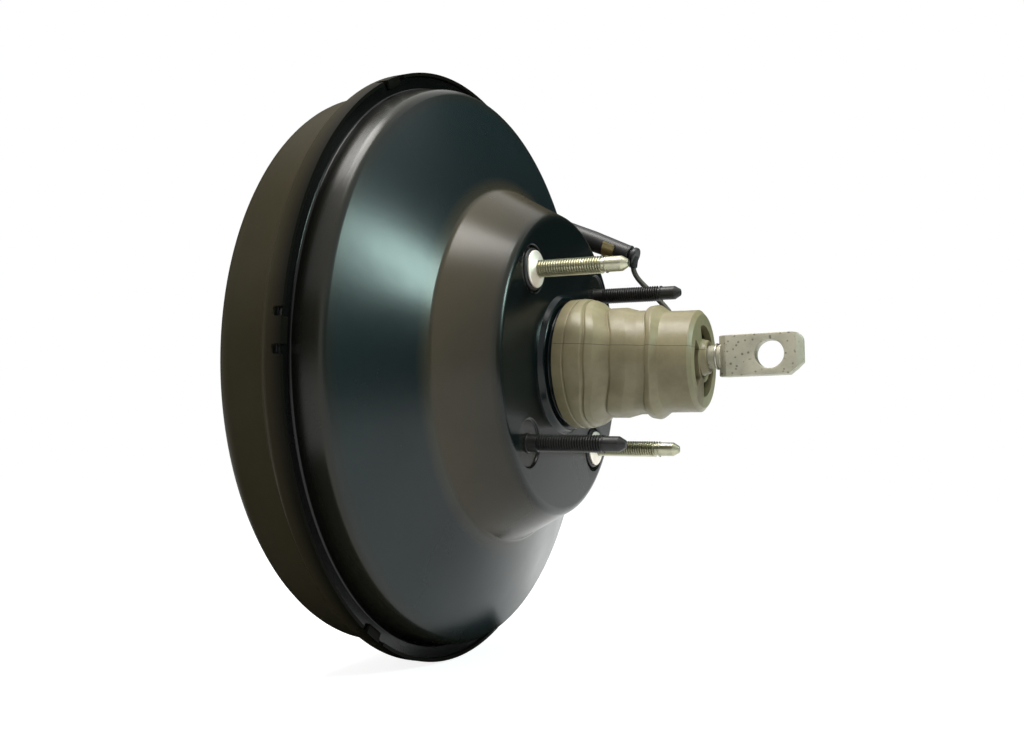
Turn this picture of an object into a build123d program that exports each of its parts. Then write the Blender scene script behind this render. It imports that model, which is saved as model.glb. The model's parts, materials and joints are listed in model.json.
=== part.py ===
from build123d import *
import os
from math import atan2, cos, degrees, hypot, radians, sin, tan

# Single-diaphragm vacuum brake booster, in millimetres.
# +X runs along the booster's axis towards the brake pedal, +Z is up.
# The origin is the centre of the bulkhead seat, the plane of the stud collars' outer faces.

os.makedirs("parts", exist_ok=True)

# ---- fits and clearances ----
running_fit = 0.05          # radial play of a sliding or turning fit
soft_gap = 0.3              # rubber, felt or foam beside a part that moves past it

# ---- pressed steel housing: sheet, drum and rim ----
sheet = 1.6                 # gauge of both shells
collar_stand = 1.8          # stud collars stand this far out of the hub face
rim_r = 147.4               # outside of the crimped rim
rim_setback = 58.5          # hub face to the free edge of the rim
rim_depth = 8.6             # straight wall of the rim
flare_run = 6.5             # axial run of the flare from drum to rim
flare_height = 7.6          # the drum is this much smaller in radius than the rim
flare_bend = 3.0
drum_setback = 98.9         # hub face to the front corner of the drum
drum_bend = 9.0
front_cone_rise = 11.5      # the front wall's cone stands this far ahead of the drum's corner
front_boss_r = 72.0         # foot of the master cylinder boss
front_boss_top_r = 60.0
housing_depth = 124.2       # hub face to the outer face of the master cylinder boss
pilot_r = 22.0              # cup that takes the master cylinder's nose
pilot_depth = 17.0
pilot_floor_r = 9.0
wide_bend = 6.0
cup_bend = 2.5

# ---- rear shell: shoulder, cone, hub and neck ----
flange_width = 8.0          # the flange's root is this much smaller in radius than the rim
flange_bend = 2.0
flange_gap = 0.3            # edge of the flange to the inside of the rim
shoulder_draft = 1.6        # the side wall draws in by this much up to the shoulder
shoulder_setback = 46.5     # hub face to the shoulder
shoulder_bend = 4.5
hub_root_r = 87.2
hub_root_setback = 26.4     # hub face to the foot of the hub
hub_root_bend = 5.0
hub_top_r = 72.5
hub_edge_bend = 4.0
bead_r = 34.2               # raised bead round the neck
bead_height = 2.9
bead_slope = 1.6
bead_bend = 0.9
neck_r = 28.8               # outside of the neck
neck_x = 14.6               # end of the neck
neck_lip = 3.4
neck_bend = 1.4
pocket_r = 11.2             # round pressing under each stud
plated_pocket_depth = 3.0
coated_pocket_depth = 1.0

# ---- crimp tabs lanced from the rim ----
tab_count = 6
tab_width = 11.0
tab_reach = 4.6             # how far a folded tab covers the flange
notch_width = 4.0
notch_depth = 4.5

# ---- bulkhead studs, M8 ----
stud_pitch_y = 80.0
stud_pitch_z = 80.0
stud_r = 4.0
stud_length = 44.2          # beyond the seat plane
dog_length = 7.4
dog_r = 3.45
tip_length = 3.0
tip_r = 1.7
shank_r = 4.6               # unthreaded shank through the sheet
head_r = 9.0
head_thick = 3.2
coated_shoulder_r = 5.6
coated_shoulder = 0.6       # height of the shoulder above its pocket floor
collar_r = 8.7
collar_thick = 1.3
seal_ring_r = 9.9

# ---- master cylinder studs, M8 ----
cylinder_stud_pcd = 84.0
cylinder_stud_length = 26.0
cylinder_head_r = 7.0
plate_thick = 3.0           # reinforcement plates inside both shells
rear_plate_inner_r = 37.0
rear_plate_margin = 6.0     # the rear plate stops this far inside the hub's edge
front_plate_outer_r = 53.0

# ---- moving wall: plate and diaphragm ----
wall_gauge = 1.2
lobe_room = 17.9            # radial room for the rolling fold beside the wall
wall_rim = 5.5              # the wall's edge is turned forward this far
wall_edge_x = -54.0
wall_step_r = 76.0
wall_step_x = -38.0
wall_flat_r = 65.0
wall_bend = 3.0
rubber = 2.0                # diaphragm sheet
rubber_bead = 4.6
lobe_depth = 20.0           # rolling fold at the diaphragm's edge
lobe_bend = 3.6

# ---- valve body ----
body_r = 20.0               # outside of the sliding tail
body_front_x = -46.0
body_boss_r = 24.0
body_flange_r = 40.0
body_flange_thick = 6.0
body_flange_x = -32.0       # rear face of the flange
groove_r = 24.0
groove_width = 4.8          # takes the moving wall's hub and the diaphragm's bead
body_collar_r = 27.0
body_collar_thick = 3.0
body_tail_x = 55.0
chamber_r = 15.0
chamber_x = 6.0
reaction_r = 13.0
reaction_x = -36.0          # floor of the reaction bore
vacuum_hole_r = 1.7
vacuum_hole_count = 4

# ---- reaction disc and output rod ----
reaction_thick = 5.0
rod_head_thick = 4.0
output_rod_r = 5.0
output_rod_reach = 6.5      # nose beyond the master cylinder face
output_nose_r = 4.6
output_nose_length = 8.0    # straight part of the nose
output_head_fillet = 3.0
retainer_thick = 0.8
retainer_inner_r = 11.0

# ---- input side ----
input_travel = 1.6
ball_x = -2.0
ball_r = 6.4
plunger_nose_r = 5.95
plunger_neck_r = 4.0
plunger_r = 9.0
plunger_body_x = -14.0
seat_flange_r = 10.5
seat_flange_thick = 3.0
stop_play = 0.4             # plunger or body beside the stop key
key_thick = 2.4
key_x = -20.0               # front face of the stop key
key_width = 13.0
key_reach = 24.0
pedal_rod_lift = 1.4        # the pedal rod rests this many degrees above the axis
pedal_rod_r = 5.3
pedal_rod_neck_r = 4.0
pedal_rod_neck = 16.0
eye_start = 80.5            # from the ball's centre, as are the next two
ring_start = 75.6
spring_seat_start = 45.0
ring_thick = 0.9
ring_r = 6.2
eye_length = 31.7
eye_height = 18.9
eye_thick = 7.0
eye_hole_r = 6.5
eye_hole_back = 12.0        # from the eye's end to the hole's centre
eye_bevel = 3.4
eye_bevel_depth = 1.9
eye_corner = 4.0
eye_chamfer = 3.5

# ---- poppet valve, springs and filter ----
poppet_inner_r = 8.7
poppet_lip_r = 12.6
poppet_lip = 1.7
poppet_wall = 1.5
poppet_length = 11.5
poppet_bead = 3.2
cup_thick = 1.2
cup_inner_r = 8.2
spring_seat_r = 9.6
spring_seat_thick = 1.5
return_wire_r = 2.1
return_coil_r = 30.0
return_turns = 5.5
input_wire_r = 0.9
input_coil_r = 8.0
input_turns = 5.0
poppet_wire_r = 0.6
poppet_turns = 3.0
filter_x = 45.5
filter_thick = 5.5
silencer_thick = 3.0
filter_inner_r = 10.6

# ---- neck guide and seal ----
guide_thick = 8.0
guide_nose_r = 24.2
seal_thick = 4.4

# ---- boot ----
boot_x = 3.4
boot_folds = [              # outside of the bellows: distance from the neck end, radius
    (0.0, 30.5), (4.0, 31.3), (8.0, 31.2), (11.8, 29.7), (15.3, 27.5), (18.8, 25.5), (22.8, 26.3),
    (26.2, 26.2), (31.0, 24.9), (35.0, 24.9), (39.5, 25.8), (42.8, 27.0), (46.7, 24.8), (48.8, 23.6),
]
boot_wall = 2.2
boot_end_x = 67.6
boot_end_thick = 3.2
boot_end_r = 23.6
boot_edge = 1.2
boot_grip_x = 48.0
boot_collar_r = 8.2
boot_collar_length = 6.0
window_inner_r = 9.8
window_outer_r = 16.6
window_count = 3
window_deg = 84.0
window_start_deg = -7.0

# ---- vacuum check valve ----
valve_y = 56.0
valve_z = 73.0
valve_pad_r = 16.0
valve_pad_height = 3.8      # the valve's seat stands this far ahead of the front wall's cone
valve_pad_depth = 10.8
valve_body_r = 9.0
valve_body_length = 16.0
valve_stem_r = 6.5
valve_stem_length = 9.5
spigot_r = 4.8
spigot_bore_r = 3.2
spigot_length = 24.0
spigot_boss_r = 6.5
spigot_boss = 1.0           # the boss under the spigot stands this far out of the valve's body
valve_grommet_r = 13.5
valve_grommet_lip = 3.0
valve_hole_r = 9.5

# ---- lead on the far side of the hub ----
sleeve_tip = (9.8, 60.0, 65.6)
sleeve_dip = 23.0           # the sleeve points this many degrees below the axis
sleeve_length = 56.0
sleeve_root_r = 6.4
sleeve_tip_r = 4.9
port_r = 4.0
port_bore_r = 2.6
port_root = 55.0            # from the sleeve's tip back to the inner end of its port
port_length = 25.0
plug_r = 5.0
plug_gap = 1.4              # between the sleeve's tip and the plug's disc
plug_thick = 2.4
plug_neck_r = 3.6
plug_depth = 6.0            # how far the plug's neck enters the sleeve
outlet_r = 2.2
outlet_length = 6.2         # the plug's outlet turns down by this much from its centre
outlet_dip = 97.0
outlet_depth = 1.6          # how far the lead enters its outlet
clip_back = 15.0            # from the sleeve's tip to the clip's near edge
clip_width = 7.0
clip_thick = 0.9
clip_rise = 1.5             # the clip reaches this far above the sleeve's centre line
clip_lip = 1.8
lead_r = 1.4
lead_tangent_share = 0.45   # each bend's tangent as a share of the shorter run beside it
lead_grommet_r = 4.6
lead_grommet_height = 3.0
lead_grommet_groove = 1.0
lead_grommet_y = 42.5
lead_grommet_z = -2.0
lead_points = [             # from the outlet's mouth; the last point lies in the hub's grommet
    (11.0, 60.0, 55.2),
    (23.5, 60.0, 42.8),
    (33.0, 59.0, 33.0),
    (39.5, 56.0, 22.0),
    (39.0, 51.5, 9.5),
    (32.0, 47.5, -0.5),
    (21.0, 44.0, -4.5),
    (9.5, lead_grommet_y, lead_grommet_z),
]

# ---- stations that follow from the sizes above ----
half = sheet / 2
face_x = -collar_stand                      # outer face of the hub
rim_x = face_x - rim_setback
drum_r = rim_r - flare_height
drum_edge_x = face_x - drum_setback
mount_face_x = face_x - housing_depth       # outer face of the master cylinder boss
flange_root_r = rim_r - flange_width
shoulder_r = flange_root_r - shoulder_draft
shoulder_x = face_x - shoulder_setback
hub_root_x = face_x - hub_root_setback
front_cone_x = drum_edge_x - front_cone_rise
valve_pad_x = front_cone_x - valve_pad_height
rear_plate_outer_r = hub_top_r - rear_plate_margin
wall_r = flange_root_r - lobe_room
inner_face_x = face_x - sheet
flange_x = rim_x - sheet                    # rear face of the clamped flange
flange_r = rim_r - sheet - flange_gap
bead_x = face_x + bead_height
plated_floor_x = face_x - plated_pocket_depth
coated_floor_x = face_x - coated_pocket_depth
pilot_floor_x = mount_face_x + pilot_depth
front_plate_x = mount_face_x + sheet
front_plate_back_x = front_plate_x + plate_thick
body_flange_front_x = body_flange_x - body_flange_thick
groove_back_x = body_flange_x + groove_width
body_collar_x = groove_back_x + body_collar_thick
plunger_nose_x = reaction_x + input_travel + 0.1
key_back_x = key_x + key_thick
seat_flange_x = chamber_x + stop_play + input_travel
plunger_rear_x = seat_flange_x + seat_flange_thick
poppet_x = plunger_rear_x + soft_gap
poppet_back_x = poppet_x + poppet_length
cup_back_x = poppet_back_x + cup_thick
guide_x = 0.0
guide_back_x = guide_x + guide_thick
plated_places = [(-stud_pitch_y / 2, stud_pitch_z / 2), (stud_pitch_y / 2, -stud_pitch_z / 2)]
coated_places = [(-stud_pitch_y / 2, -stud_pitch_z / 2), (stud_pitch_y / 2, stud_pitch_z / 2)]
cylinder_places = [(-cylinder_stud_pcd / 2, 0), (cylinder_stud_pcd / 2, 0)]
valve_place = [(valve_y, valve_z)]
grommet_place = [(lead_grommet_y, lead_grommet_z)]

sleeve_dir = (cos(radians(sleeve_dip)), 0.0, -sin(radians(sleeve_dip)))
rod_dir = (cos(radians(pedal_rod_lift)), 0.0, sin(radians(pedal_rod_lift)))


def turned(*outline, mode=Mode.ADD):
    """Revolve a closed outline of (x, radius) points about the booster's axis."""
    with BuildSketch(Plane.XZ) as section:
        with BuildLine():
            Polyline(*outline, close=True)
        make_face()
    revolve(section.sketch, axis=Axis.X, mode=mode)


def tube(x0, x1, outer, inner=0.0, mode=Mode.ADD):
    """Revolve a plain ring between two stations on the axis."""
    turned((x0, inner), (x1, inner), (x1, outer), (x0, outer), mode=mode)


def inset(outline, depth):
    """Move an open run of points sideways by depth, with its corners mitred."""
    moved = []
    last = len(outline) - 1
    for i, (x, r) in enumerate(outline):
        normals = []
        for a, b in ((i - 1, i), (i, i + 1)):
            if a >= 0 and b <= last:
                dx = outline[b][0] - outline[a][0]
                dr = outline[b][1] - outline[a][1]
                normals.append((-dr / hypot(dx, dr), dx / hypot(dx, dr)))
        (nx, nr), (mx, mr) = normals[0], normals[-1]
        share = depth / (1 + nx * mx + nr * mr)
        moved.append((x + (nx + mx) * share, r + (nr + mr) * share))
    return moved


def pressed(middle_line, bends, gauge):
    """Revolve a bent sheet whose middle line is a run of (x, radius) points."""
    with BuildSketch(Plane.XZ) as section:
        with BuildLine():
            FilletPolyline(*middle_line, radius=bends)
        trace(line_width=gauge)
    revolve(section.sketch, axis=Axis.X)


def across(x, y=0.0, z=0.0):
    """A plane square to the axis at x, with its local X along +Y and local Y along +Z."""
    return Plane(origin=(x, y, z), x_dir=(0, 1, 0), z_dir=(1, 0, 0))


def bars(places, x0, x1, radius, mode=Mode.ADD):
    """Extrude round bars along the axis, from x0 to x1, at each (y, z) place."""
    with BuildSketch(across(x0)) as section:
        with Locations(*places):
            Circle(radius)
    extrude(section.sketch, amount=x1 - x0, mode=mode)


def coil(x0, x1, radius, wire_r, turns):
    """Sweep one helical spring between two stations on the axis."""
    pitch = (x1 - x0 - 2 * wire_r) / turns
    start = (x0 + wire_r, 0, 0)
    with BuildLine() as path:
        Helix(pitch=pitch, height=pitch * turns, radius=radius, center=start, direction=(1, 0, 0))
    with BuildSketch(Plane(origin=path.line @ 0, z_dir=path.line % 0)) as section:
        Circle(wire_r)
    sweep(section.sketch, path=path.line, is_frenet=True)


def along(start, direction, distance):
    """The point at a distance from start along a unit direction."""
    return tuple(p + d * distance for p, d in zip(start, direction))


def on_sleeve(distance):
    """A plane square to the lead's sleeve, at a distance beyond its tip."""
    return Plane(origin=along(sleeve_tip, sleeve_dir, distance), x_dir=(0, 1, 0), z_dir=sleeve_dir)


def sleeve_bar(start, length, radius, mode=Mode.ADD):
    """Extrude a round bar along the sleeve's axis, from a distance beyond its tip."""
    with BuildSketch(on_sleeve(start)) as section:
        Circle(radius)
    extrude(section.sketch, amount=length, mode=mode)


def rod_turned(*outline, mode=Mode.ADD):
    """Revolve a closed outline of (distance from the ball, radius) about the pedal rod's axis."""
    rod_plane = Plane(origin=(ball_x, 0, 0), x_dir=rod_dir, z_dir=(0, -1, 0))
    with BuildSketch(rod_plane) as section:
        with BuildLine():
            Polyline(*outline, close=True)
        make_face()
    revolve(section.sketch, axis=Axis((ball_x, 0, 0), rod_dir), mode=mode)


def finish(piece, label):
    """Name a finished piece and write it as its own STEP file."""
    piece.part.label = label
    export_step(piece.part, f"parts/{label}.step")


# ---- housing: front shell with its pilot cup, boss, drum, rim and crimp tabs ----
front_outline = [
    (pilot_floor_x - sheet, pilot_floor_r),
    (pilot_floor_x - sheet, pilot_r),
    (mount_face_x, pilot_r),
    (mount_face_x, front_boss_top_r),
    (front_cone_x, front_boss_r),
    (drum_edge_x, drum_r),
    (rim_x - rim_depth - flare_run, drum_r),
    (rim_x - rim_depth, rim_r),
    (rim_x, rim_r),
]
front_bends = [cup_bend, cup_bend, wide_bend, wide_bend, drum_bend, flare_bend, flare_bend]
notch_turn = degrees((tab_width + notch_width) / 2 / rim_r)
with BuildPart() as front_shell:
    pressed(inset(front_outline, -half), front_bends, sheet)
    with BuildSketch(across(rim_x - notch_depth)) as notches:
        for turn in (notch_turn, -notch_turn):
            with PolarLocations(rim_r, tab_count, start_angle=turn):
                Rectangle(4 * sheet, notch_width)
    extrude(notches.sketch, amount=2 * notch_depth, mode=Mode.SUBTRACT)
    with BuildSketch(across(flange_x)) as tabs:
        with PolarLocations(rim_r - tab_reach / 2, tab_count):
            Rectangle(2 * tab_reach, tab_width)
        Circle(rim_r, mode=Mode.INTERSECT)
        Circle(rim_r - tab_reach, mode=Mode.SUBTRACT)
    extrude(tabs.sketch, amount=sheet)
    bars(valve_place, valve_pad_x, valve_pad_x + 2 * valve_pad_depth, valve_pad_r, mode=Mode.SUBTRACT)
    bars(cylinder_places, mount_face_x, front_plate_x, shank_r, mode=Mode.SUBTRACT)
finish(front_shell, "front_shell")

with BuildPart() as valve_seat:
    bars(valve_place, valve_pad_x, valve_pad_x + valve_pad_depth, valve_pad_r)
    bars(valve_place, valve_pad_x + sheet, valve_pad_x + valve_pad_depth, valve_pad_r - sheet,
         mode=Mode.SUBTRACT)
    bars(valve_place, valve_pad_x, valve_pad_x + sheet, valve_hole_r, mode=Mode.SUBTRACT)
finish(valve_seat, "check_valve_seat")

# ---- housing: rear shell with its neck, bead, stud pockets, cone and clamped flange ----
rear_outline = [
    (neck_x, neck_r - neck_lip),
    (neck_x, neck_r),
    (bead_x, neck_r),
    (bead_x, bead_r - bead_slope),
    (face_x, bead_r),
    (face_x, hub_top_r),
    (hub_root_x, hub_root_r),
    (shoulder_x, shoulder_r),
    (flange_x, flange_root_r),
    (flange_x, flange_r),
]
rear_bends = [
    neck_bend, bead_bend, bead_bend, bead_bend,
    hub_edge_bend, hub_root_bend, shoulder_bend, flange_bend,
]
with BuildPart() as rear_shell:
    pressed(inset(rear_outline, half), rear_bends, sheet)
    for places, floor_x in ((plated_places, plated_floor_x), (coated_places, coated_floor_x)):
        bars(places, floor_x - sheet, face_x, pocket_r + sheet)
        bars(places, floor_x, face_x, pocket_r, mode=Mode.SUBTRACT)
        bars(places, floor_x - sheet, floor_x, shank_r, mode=Mode.SUBTRACT)
    bars(grommet_place, inner_face_x, face_x, lead_grommet_r - lead_grommet_groove, mode=Mode.SUBTRACT)
    sleeve_bar(-port_root, port_length, port_r)
    sleeve_bar(-port_root, port_length, port_bore_r, mode=Mode.SUBTRACT)
finish(rear_shell, "rear_shell")

with BuildPart() as rear_plate:
    tube(inner_face_x - plate_thick, inner_face_x, rear_plate_outer_r, rear_plate_inner_r)
    bars(plated_places + coated_places, inner_face_x - plate_thick, inner_face_x, pocket_r + sheet,
         mode=Mode.SUBTRACT)
    bars(grommet_place, inner_face_x - plate_thick, inner_face_x, lead_grommet_r, mode=Mode.SUBTRACT)
finish(rear_plate, "rear_reinforcement")

with BuildPart() as front_plate:
    tube(front_plate_x, front_plate_back_x, front_plate_outer_r, pilot_r + sheet + cup_bend)
    bars(cylinder_places, front_plate_x, front_plate_back_x, shank_r, mode=Mode.SUBTRACT)
finish(front_plate, "front_reinforcement")


def studs(places, floor_x, seat_x):
    """Build headed studs whose full diameter starts at seat_x, each with a dog point."""
    dog_x = stud_length - tip_length - dog_length
    bars(places, floor_x - sheet - head_thick, floor_x - sheet, head_r)
    bars(places, floor_x - sheet, seat_x, shank_r)
    bars(places, seat_x, dog_x, stud_r)
    bars(places, dog_x, stud_length - tip_length, dog_r)
    with BuildSketch(across(stud_length - tip_length)) as tips:
        with Locations(*places):
            Circle(dog_r)
    extrude(tips.sketch, amount=tip_length, taper=degrees(atan2(dog_r - tip_r, tip_length)))


# ---- bulkhead studs: two plated ones with collars and seal rings, two coated ones ----
with BuildPart() as plated_studs:
    studs(plated_places, plated_floor_x, 0.0)
finish(plated_studs, "plated_studs")

with BuildPart() as coated_studs:
    studs(coated_places, coated_floor_x, 0.0)
    bars(coated_places, coated_floor_x, coated_floor_x + coated_shoulder, coated_shoulder_r)
finish(coated_studs, "coated_studs")

with BuildPart() as stud_collars:
    bars(plated_places, -collar_thick, 0.0, collar_r)
    bars(plated_places, -collar_thick, 0.0, shank_r, mode=Mode.SUBTRACT)
finish(stud_collars, "stud_collars")

with BuildPart() as stud_seals:
    bars(plated_places, plated_floor_x, -collar_thick, seal_ring_r)
    bars(plated_places, plated_floor_x, -collar_thick, shank_r, mode=Mode.SUBTRACT)
finish(stud_seals, "stud_seal_rings")

# ---- master cylinder studs ----
with BuildPart() as cylinder_studs:
    bars(cylinder_places, front_plate_back_x, front_plate_back_x + head_thick, cylinder_head_r)
    bars(cylinder_places, mount_face_x, front_plate_back_x, shank_r)
    bars(cylinder_places, mount_face_x - cylinder_stud_length, mount_face_x, stud_r)
    chamfer(cylinder_studs.edges().group_by(Axis.X)[0], length=stud_r - dog_r)
finish(cylinder_studs, "cylinder_studs")

# ---- front seal and its retainer, in the pilot cup ----
seal_floor_x = pilot_floor_x - sheet
with BuildPart() as front_seal:
    turned(
        (seal_floor_x, output_rod_r + running_fit),
        (seal_floor_x, pilot_r - cup_bend),
        (seal_floor_x - seal_thick, pilot_r),
        (seal_floor_x - seal_thick, output_rod_r + seal_thick / 2),
        (seal_floor_x - seal_thick / 2, output_rod_r + running_fit),
    )
finish(front_seal, "front_seal")

with BuildPart() as seal_retainer:
    tube(seal_floor_x - seal_thick - cup_thick, seal_floor_x - seal_thick, pilot_r, pilot_floor_r)
finish(seal_retainer, "front_seal_retainer")

# ---- vacuum check valve in its grommet ----
with BuildPart() as valve_grommet:
    bars(valve_place, valve_pad_x - valve_grommet_lip, valve_pad_x, valve_grommet_r)
    bars(valve_place, valve_pad_x, valve_pad_x + sheet, valve_hole_r)
    bars(valve_place, valve_pad_x + sheet, valve_pad_x + sheet + valve_grommet_lip,
         (valve_hole_r + valve_grommet_r) / 2)
    bars(valve_place, valve_pad_x - valve_grommet_lip, valve_pad_x + sheet + valve_grommet_lip,
         valve_stem_r, mode=Mode.SUBTRACT)
finish(valve_grommet, "check_valve_grommet")

valve_base_x = valve_pad_x - valve_grommet_lip
spigot_x = valve_base_x - valve_body_length / 2
with BuildPart() as check_valve:
    bars(valve_place, valve_base_x - valve_body_length, valve_base_x, valve_body_r)
    fillet(check_valve.edges().group_by(Axis.X)[0], radius=valve_body_r / 4)
    bars(valve_place, valve_base_x, valve_base_x + valve_stem_length, valve_stem_r)
    with BuildSketch(Plane.XY.offset(valve_z)) as spigot_boss_round:
        with Locations((spigot_x, valve_y)):
            Circle(spigot_boss_r)
    extrude(spigot_boss_round.sketch, amount=valve_body_r + spigot_boss)
    with BuildSketch(Plane.XY.offset(valve_z + valve_body_r + spigot_boss)) as spigot:
        with Locations((spigot_x, valve_y)):
            Circle(spigot_r)
    extrude(spigot.sketch, amount=spigot_length)
    with BuildSketch(Plane.XY.offset(valve_z)) as spigot_bore:
        with Locations((spigot_x, valve_y)):
            Circle(spigot_bore_r)
    extrude(spigot_bore.sketch, amount=valve_body_r + spigot_boss + spigot_length, mode=Mode.SUBTRACT)
finish(check_valve, "check_valve")

# ---- moving wall ----
wall_back = [
    (body_flange_x + wall_gauge, groove_r),
    (body_flange_x + wall_gauge, wall_flat_r),
    (wall_step_x, wall_step_r),
    (wall_edge_x, wall_r),
    (wall_edge_x - wall_rim, wall_r),
]
with BuildPart() as wall_plate:
    pressed(inset(wall_back, wall_gauge / 2), [wall_bend, wall_bend, wall_bend], wall_gauge)
finish(wall_plate, "diaphragm_plate")

lobe_inner_r = wall_r + rubber / 2 + soft_gap
lobe_outer_r = flange_root_r - sheet - rubber / 2 - 2 * soft_gap
lobe_x = wall_edge_x - lobe_depth
diaphragm_bead_x = flange_x - sheet - soft_gap
rubber_line = [
    (body_flange_x + wall_gauge + rubber / 2, groove_r + rubber),
    *inset(wall_back, -rubber / 2)[1:4],
    (lobe_x, lobe_inner_r + 2 * rubber),
    (lobe_x, lobe_outer_r),
    (diaphragm_bead_x - rubber_bead / 2, lobe_outer_r + rubber / 2),
]
with BuildPart() as diaphragm:
    pressed(rubber_line, [wall_bend, wall_bend, lobe_bend, lobe_bend, lobe_bend], rubber)
    tube(diaphragm_bead_x - rubber_bead, diaphragm_bead_x, flange_r - 2 * soft_gap,
         lobe_outer_r - rubber / 2)
    tube(body_flange_x + wall_gauge, groove_back_x, body_collar_r + rubber, groove_r)
finish(diaphragm, "diaphragm")

# ---- valve body: boss, flange, groove, collar and sliding tail ----
with BuildPart() as valve_body:
    turned(
        (body_front_x, reaction_r),
        (body_front_x, body_boss_r),
        (body_flange_front_x, body_boss_r),
        (body_flange_front_x, body_flange_r),
        (body_flange_x, body_flange_r),
        (body_flange_x, groove_r),
        (groove_back_x, groove_r),
        (groove_back_x, body_collar_r),
        (body_collar_x, body_collar_r),
        (body_collar_x, body_r),
        (body_tail_x, body_r),
        (body_tail_x, chamber_r),
        (chamber_x, chamber_r),
        (chamber_x, plunger_r + running_fit),
        (plunger_body_x - input_travel - stop_play, plunger_r + running_fit),
        (plunger_body_x - input_travel - stop_play, plunger_nose_r + running_fit),
        (reaction_x, plunger_nose_r + running_fit),
        (reaction_x, reaction_r),
    )
    with BuildSketch(across(key_x - stop_play)) as key_slot:
        Rectangle(3 * body_r, key_width + 2 * stop_play)
    extrude(key_slot.sketch, amount=key_thick + 2 * stop_play, mode=Mode.SUBTRACT)
    with BuildSketch(across(body_front_x)) as vacuum_holes:
        with PolarLocations((body_r + reaction_r) / 2, vacuum_hole_count, start_angle=45):
            Circle(vacuum_hole_r)
    extrude(vacuum_holes.sketch, amount=chamber_x - body_front_x, mode=Mode.SUBTRACT)
finish(valve_body, "valve_body")

# ---- stop key: a fork that holds the plunger in the valve body ----
with BuildPart() as stop_key:
    with BuildSketch(across(key_x)) as fork:
        Rectangle(2 * key_reach, key_width)
        fillet(fork.vertices(), radius=key_width / 5)
        with Locations((key_reach / 2, 0)):
            Rectangle(key_reach, 2 * (plunger_neck_r + stop_play), mode=Mode.SUBTRACT)
        Circle(plunger_neck_r + stop_play, mode=Mode.SUBTRACT)
    extrude(fork.sketch, amount=key_thick)
finish(stop_key, "stop_key")

# ---- reaction disc, output rod and its retainer ----
disc_x = reaction_x - reaction_thick
with BuildPart() as reaction_disc:
    tube(disc_x, reaction_x, reaction_r)
finish(reaction_disc, "reaction_disc")

rod_head_x = disc_x - rod_head_thick
nose_x = mount_face_x - output_rod_reach + output_nose_r
with BuildPart() as output_rod:
    turned(
        (disc_x, 0),
        (disc_x, reaction_r - running_fit),
        (rod_head_x, reaction_r - running_fit),
        (rod_head_x - output_head_fillet, output_rod_r),
        (nose_x + output_nose_length, output_rod_r),
        (nose_x + output_nose_length, output_nose_r),
        (nose_x, output_nose_r),
        (nose_x, 0),
    )
    with BuildSketch(Plane.XZ) as nose:
        with Locations((nose_x, 0)):
            Circle(output_nose_r)
            Rectangle(4 * output_nose_r, 2 * output_nose_r, align=(Align.CENTER, Align.MAX),
                      mode=Mode.SUBTRACT)
    revolve(nose.sketch, axis=Axis.X)
finish(output_rod, "output_rod")

with BuildPart() as rod_retainer:
    tube(body_front_x - retainer_thick, body_front_x, body_boss_r, retainer_inner_r)
finish(rod_retainer, "output_rod_retainer")

# ---- main return spring ----
with BuildPart() as return_spring:
    coil(front_plate_back_x, body_flange_front_x - soft_gap, return_coil_r, return_wire_r, return_turns)
finish(return_spring, "return_spring")

# ---- valve plunger, held at its neck by the stop key ----
socket_r = ball_r + running_fit
with BuildPart() as plunger:
    turned(
        (plunger_nose_x, 0),
        (plunger_nose_x, plunger_nose_r),
        (key_x - stop_play, plunger_nose_r),
        (key_x - stop_play, plunger_neck_r),
        (key_back_x + stop_play + input_travel, plunger_neck_r),
        (key_back_x + stop_play + input_travel, plunger_nose_r),
        (plunger_body_x, plunger_nose_r),
        (plunger_body_x, plunger_r),
        (seat_flange_x, plunger_r),
        (seat_flange_x, seat_flange_r),
        (plunger_rear_x, seat_flange_r),
        (plunger_rear_x, 0),
    )
    tube(ball_x, plunger_rear_x, socket_r, mode=Mode.SUBTRACT)
    with Locations((ball_x, 0, 0)):
        Sphere(socket_r, mode=Mode.SUBTRACT)
finish(plunger, "valve_plunger")

# ---- poppet valve, its spring and the cup that holds both ----
tube_r = poppet_inner_r + poppet_wall
with BuildPart() as poppet:
    turned(
        (poppet_x, poppet_inner_r),
        (poppet_x, poppet_lip_r),
        (poppet_x + poppet_lip, poppet_lip_r),
        (poppet_x + poppet_lip, tube_r),
        (poppet_back_x - poppet_bead, tube_r),
        (poppet_back_x - poppet_bead, chamber_r),
        (poppet_back_x, chamber_r),
        (poppet_back_x, poppet_inner_r),
    )
finish(poppet, "poppet_valve")

with BuildPart() as poppet_spring:
    coil(poppet_x + poppet_lip, poppet_back_x - poppet_bead, (tube_r + chamber_r) / 2, poppet_wire_r,
         poppet_turns)
finish(poppet_spring, "poppet_spring")

with BuildPart() as poppet_cup:
    tube(poppet_back_x, cup_back_x, chamber_r, cup_inner_r)
finish(poppet_cup, "poppet_retainer")

# ---- pedal rod on its lifted axis, with spring seat, ring and flat eye ----
with BuildPart() as pedal_rod:
    rod_turned(
        (0, 0),
        (0, pedal_rod_neck_r),
        (pedal_rod_neck, pedal_rod_neck_r),
        (pedal_rod_neck + pedal_rod_r - pedal_rod_neck_r, pedal_rod_r),
        (eye_start, pedal_rod_r),
        (eye_start, 0),
    )
    with Locations((ball_x, 0, 0)):
        Sphere(ball_r)
finish(pedal_rod, "pedal_rod")

with BuildPart() as spring_seat:
    rod_turned(
        (spring_seat_start, pedal_rod_r),
        (spring_seat_start, spring_seat_r),
        (spring_seat_start + spring_seat_thick, spring_seat_r),
        (spring_seat_start + spring_seat_thick, pedal_rod_r),
    )
finish(spring_seat, "rod_spring_seat")

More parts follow.
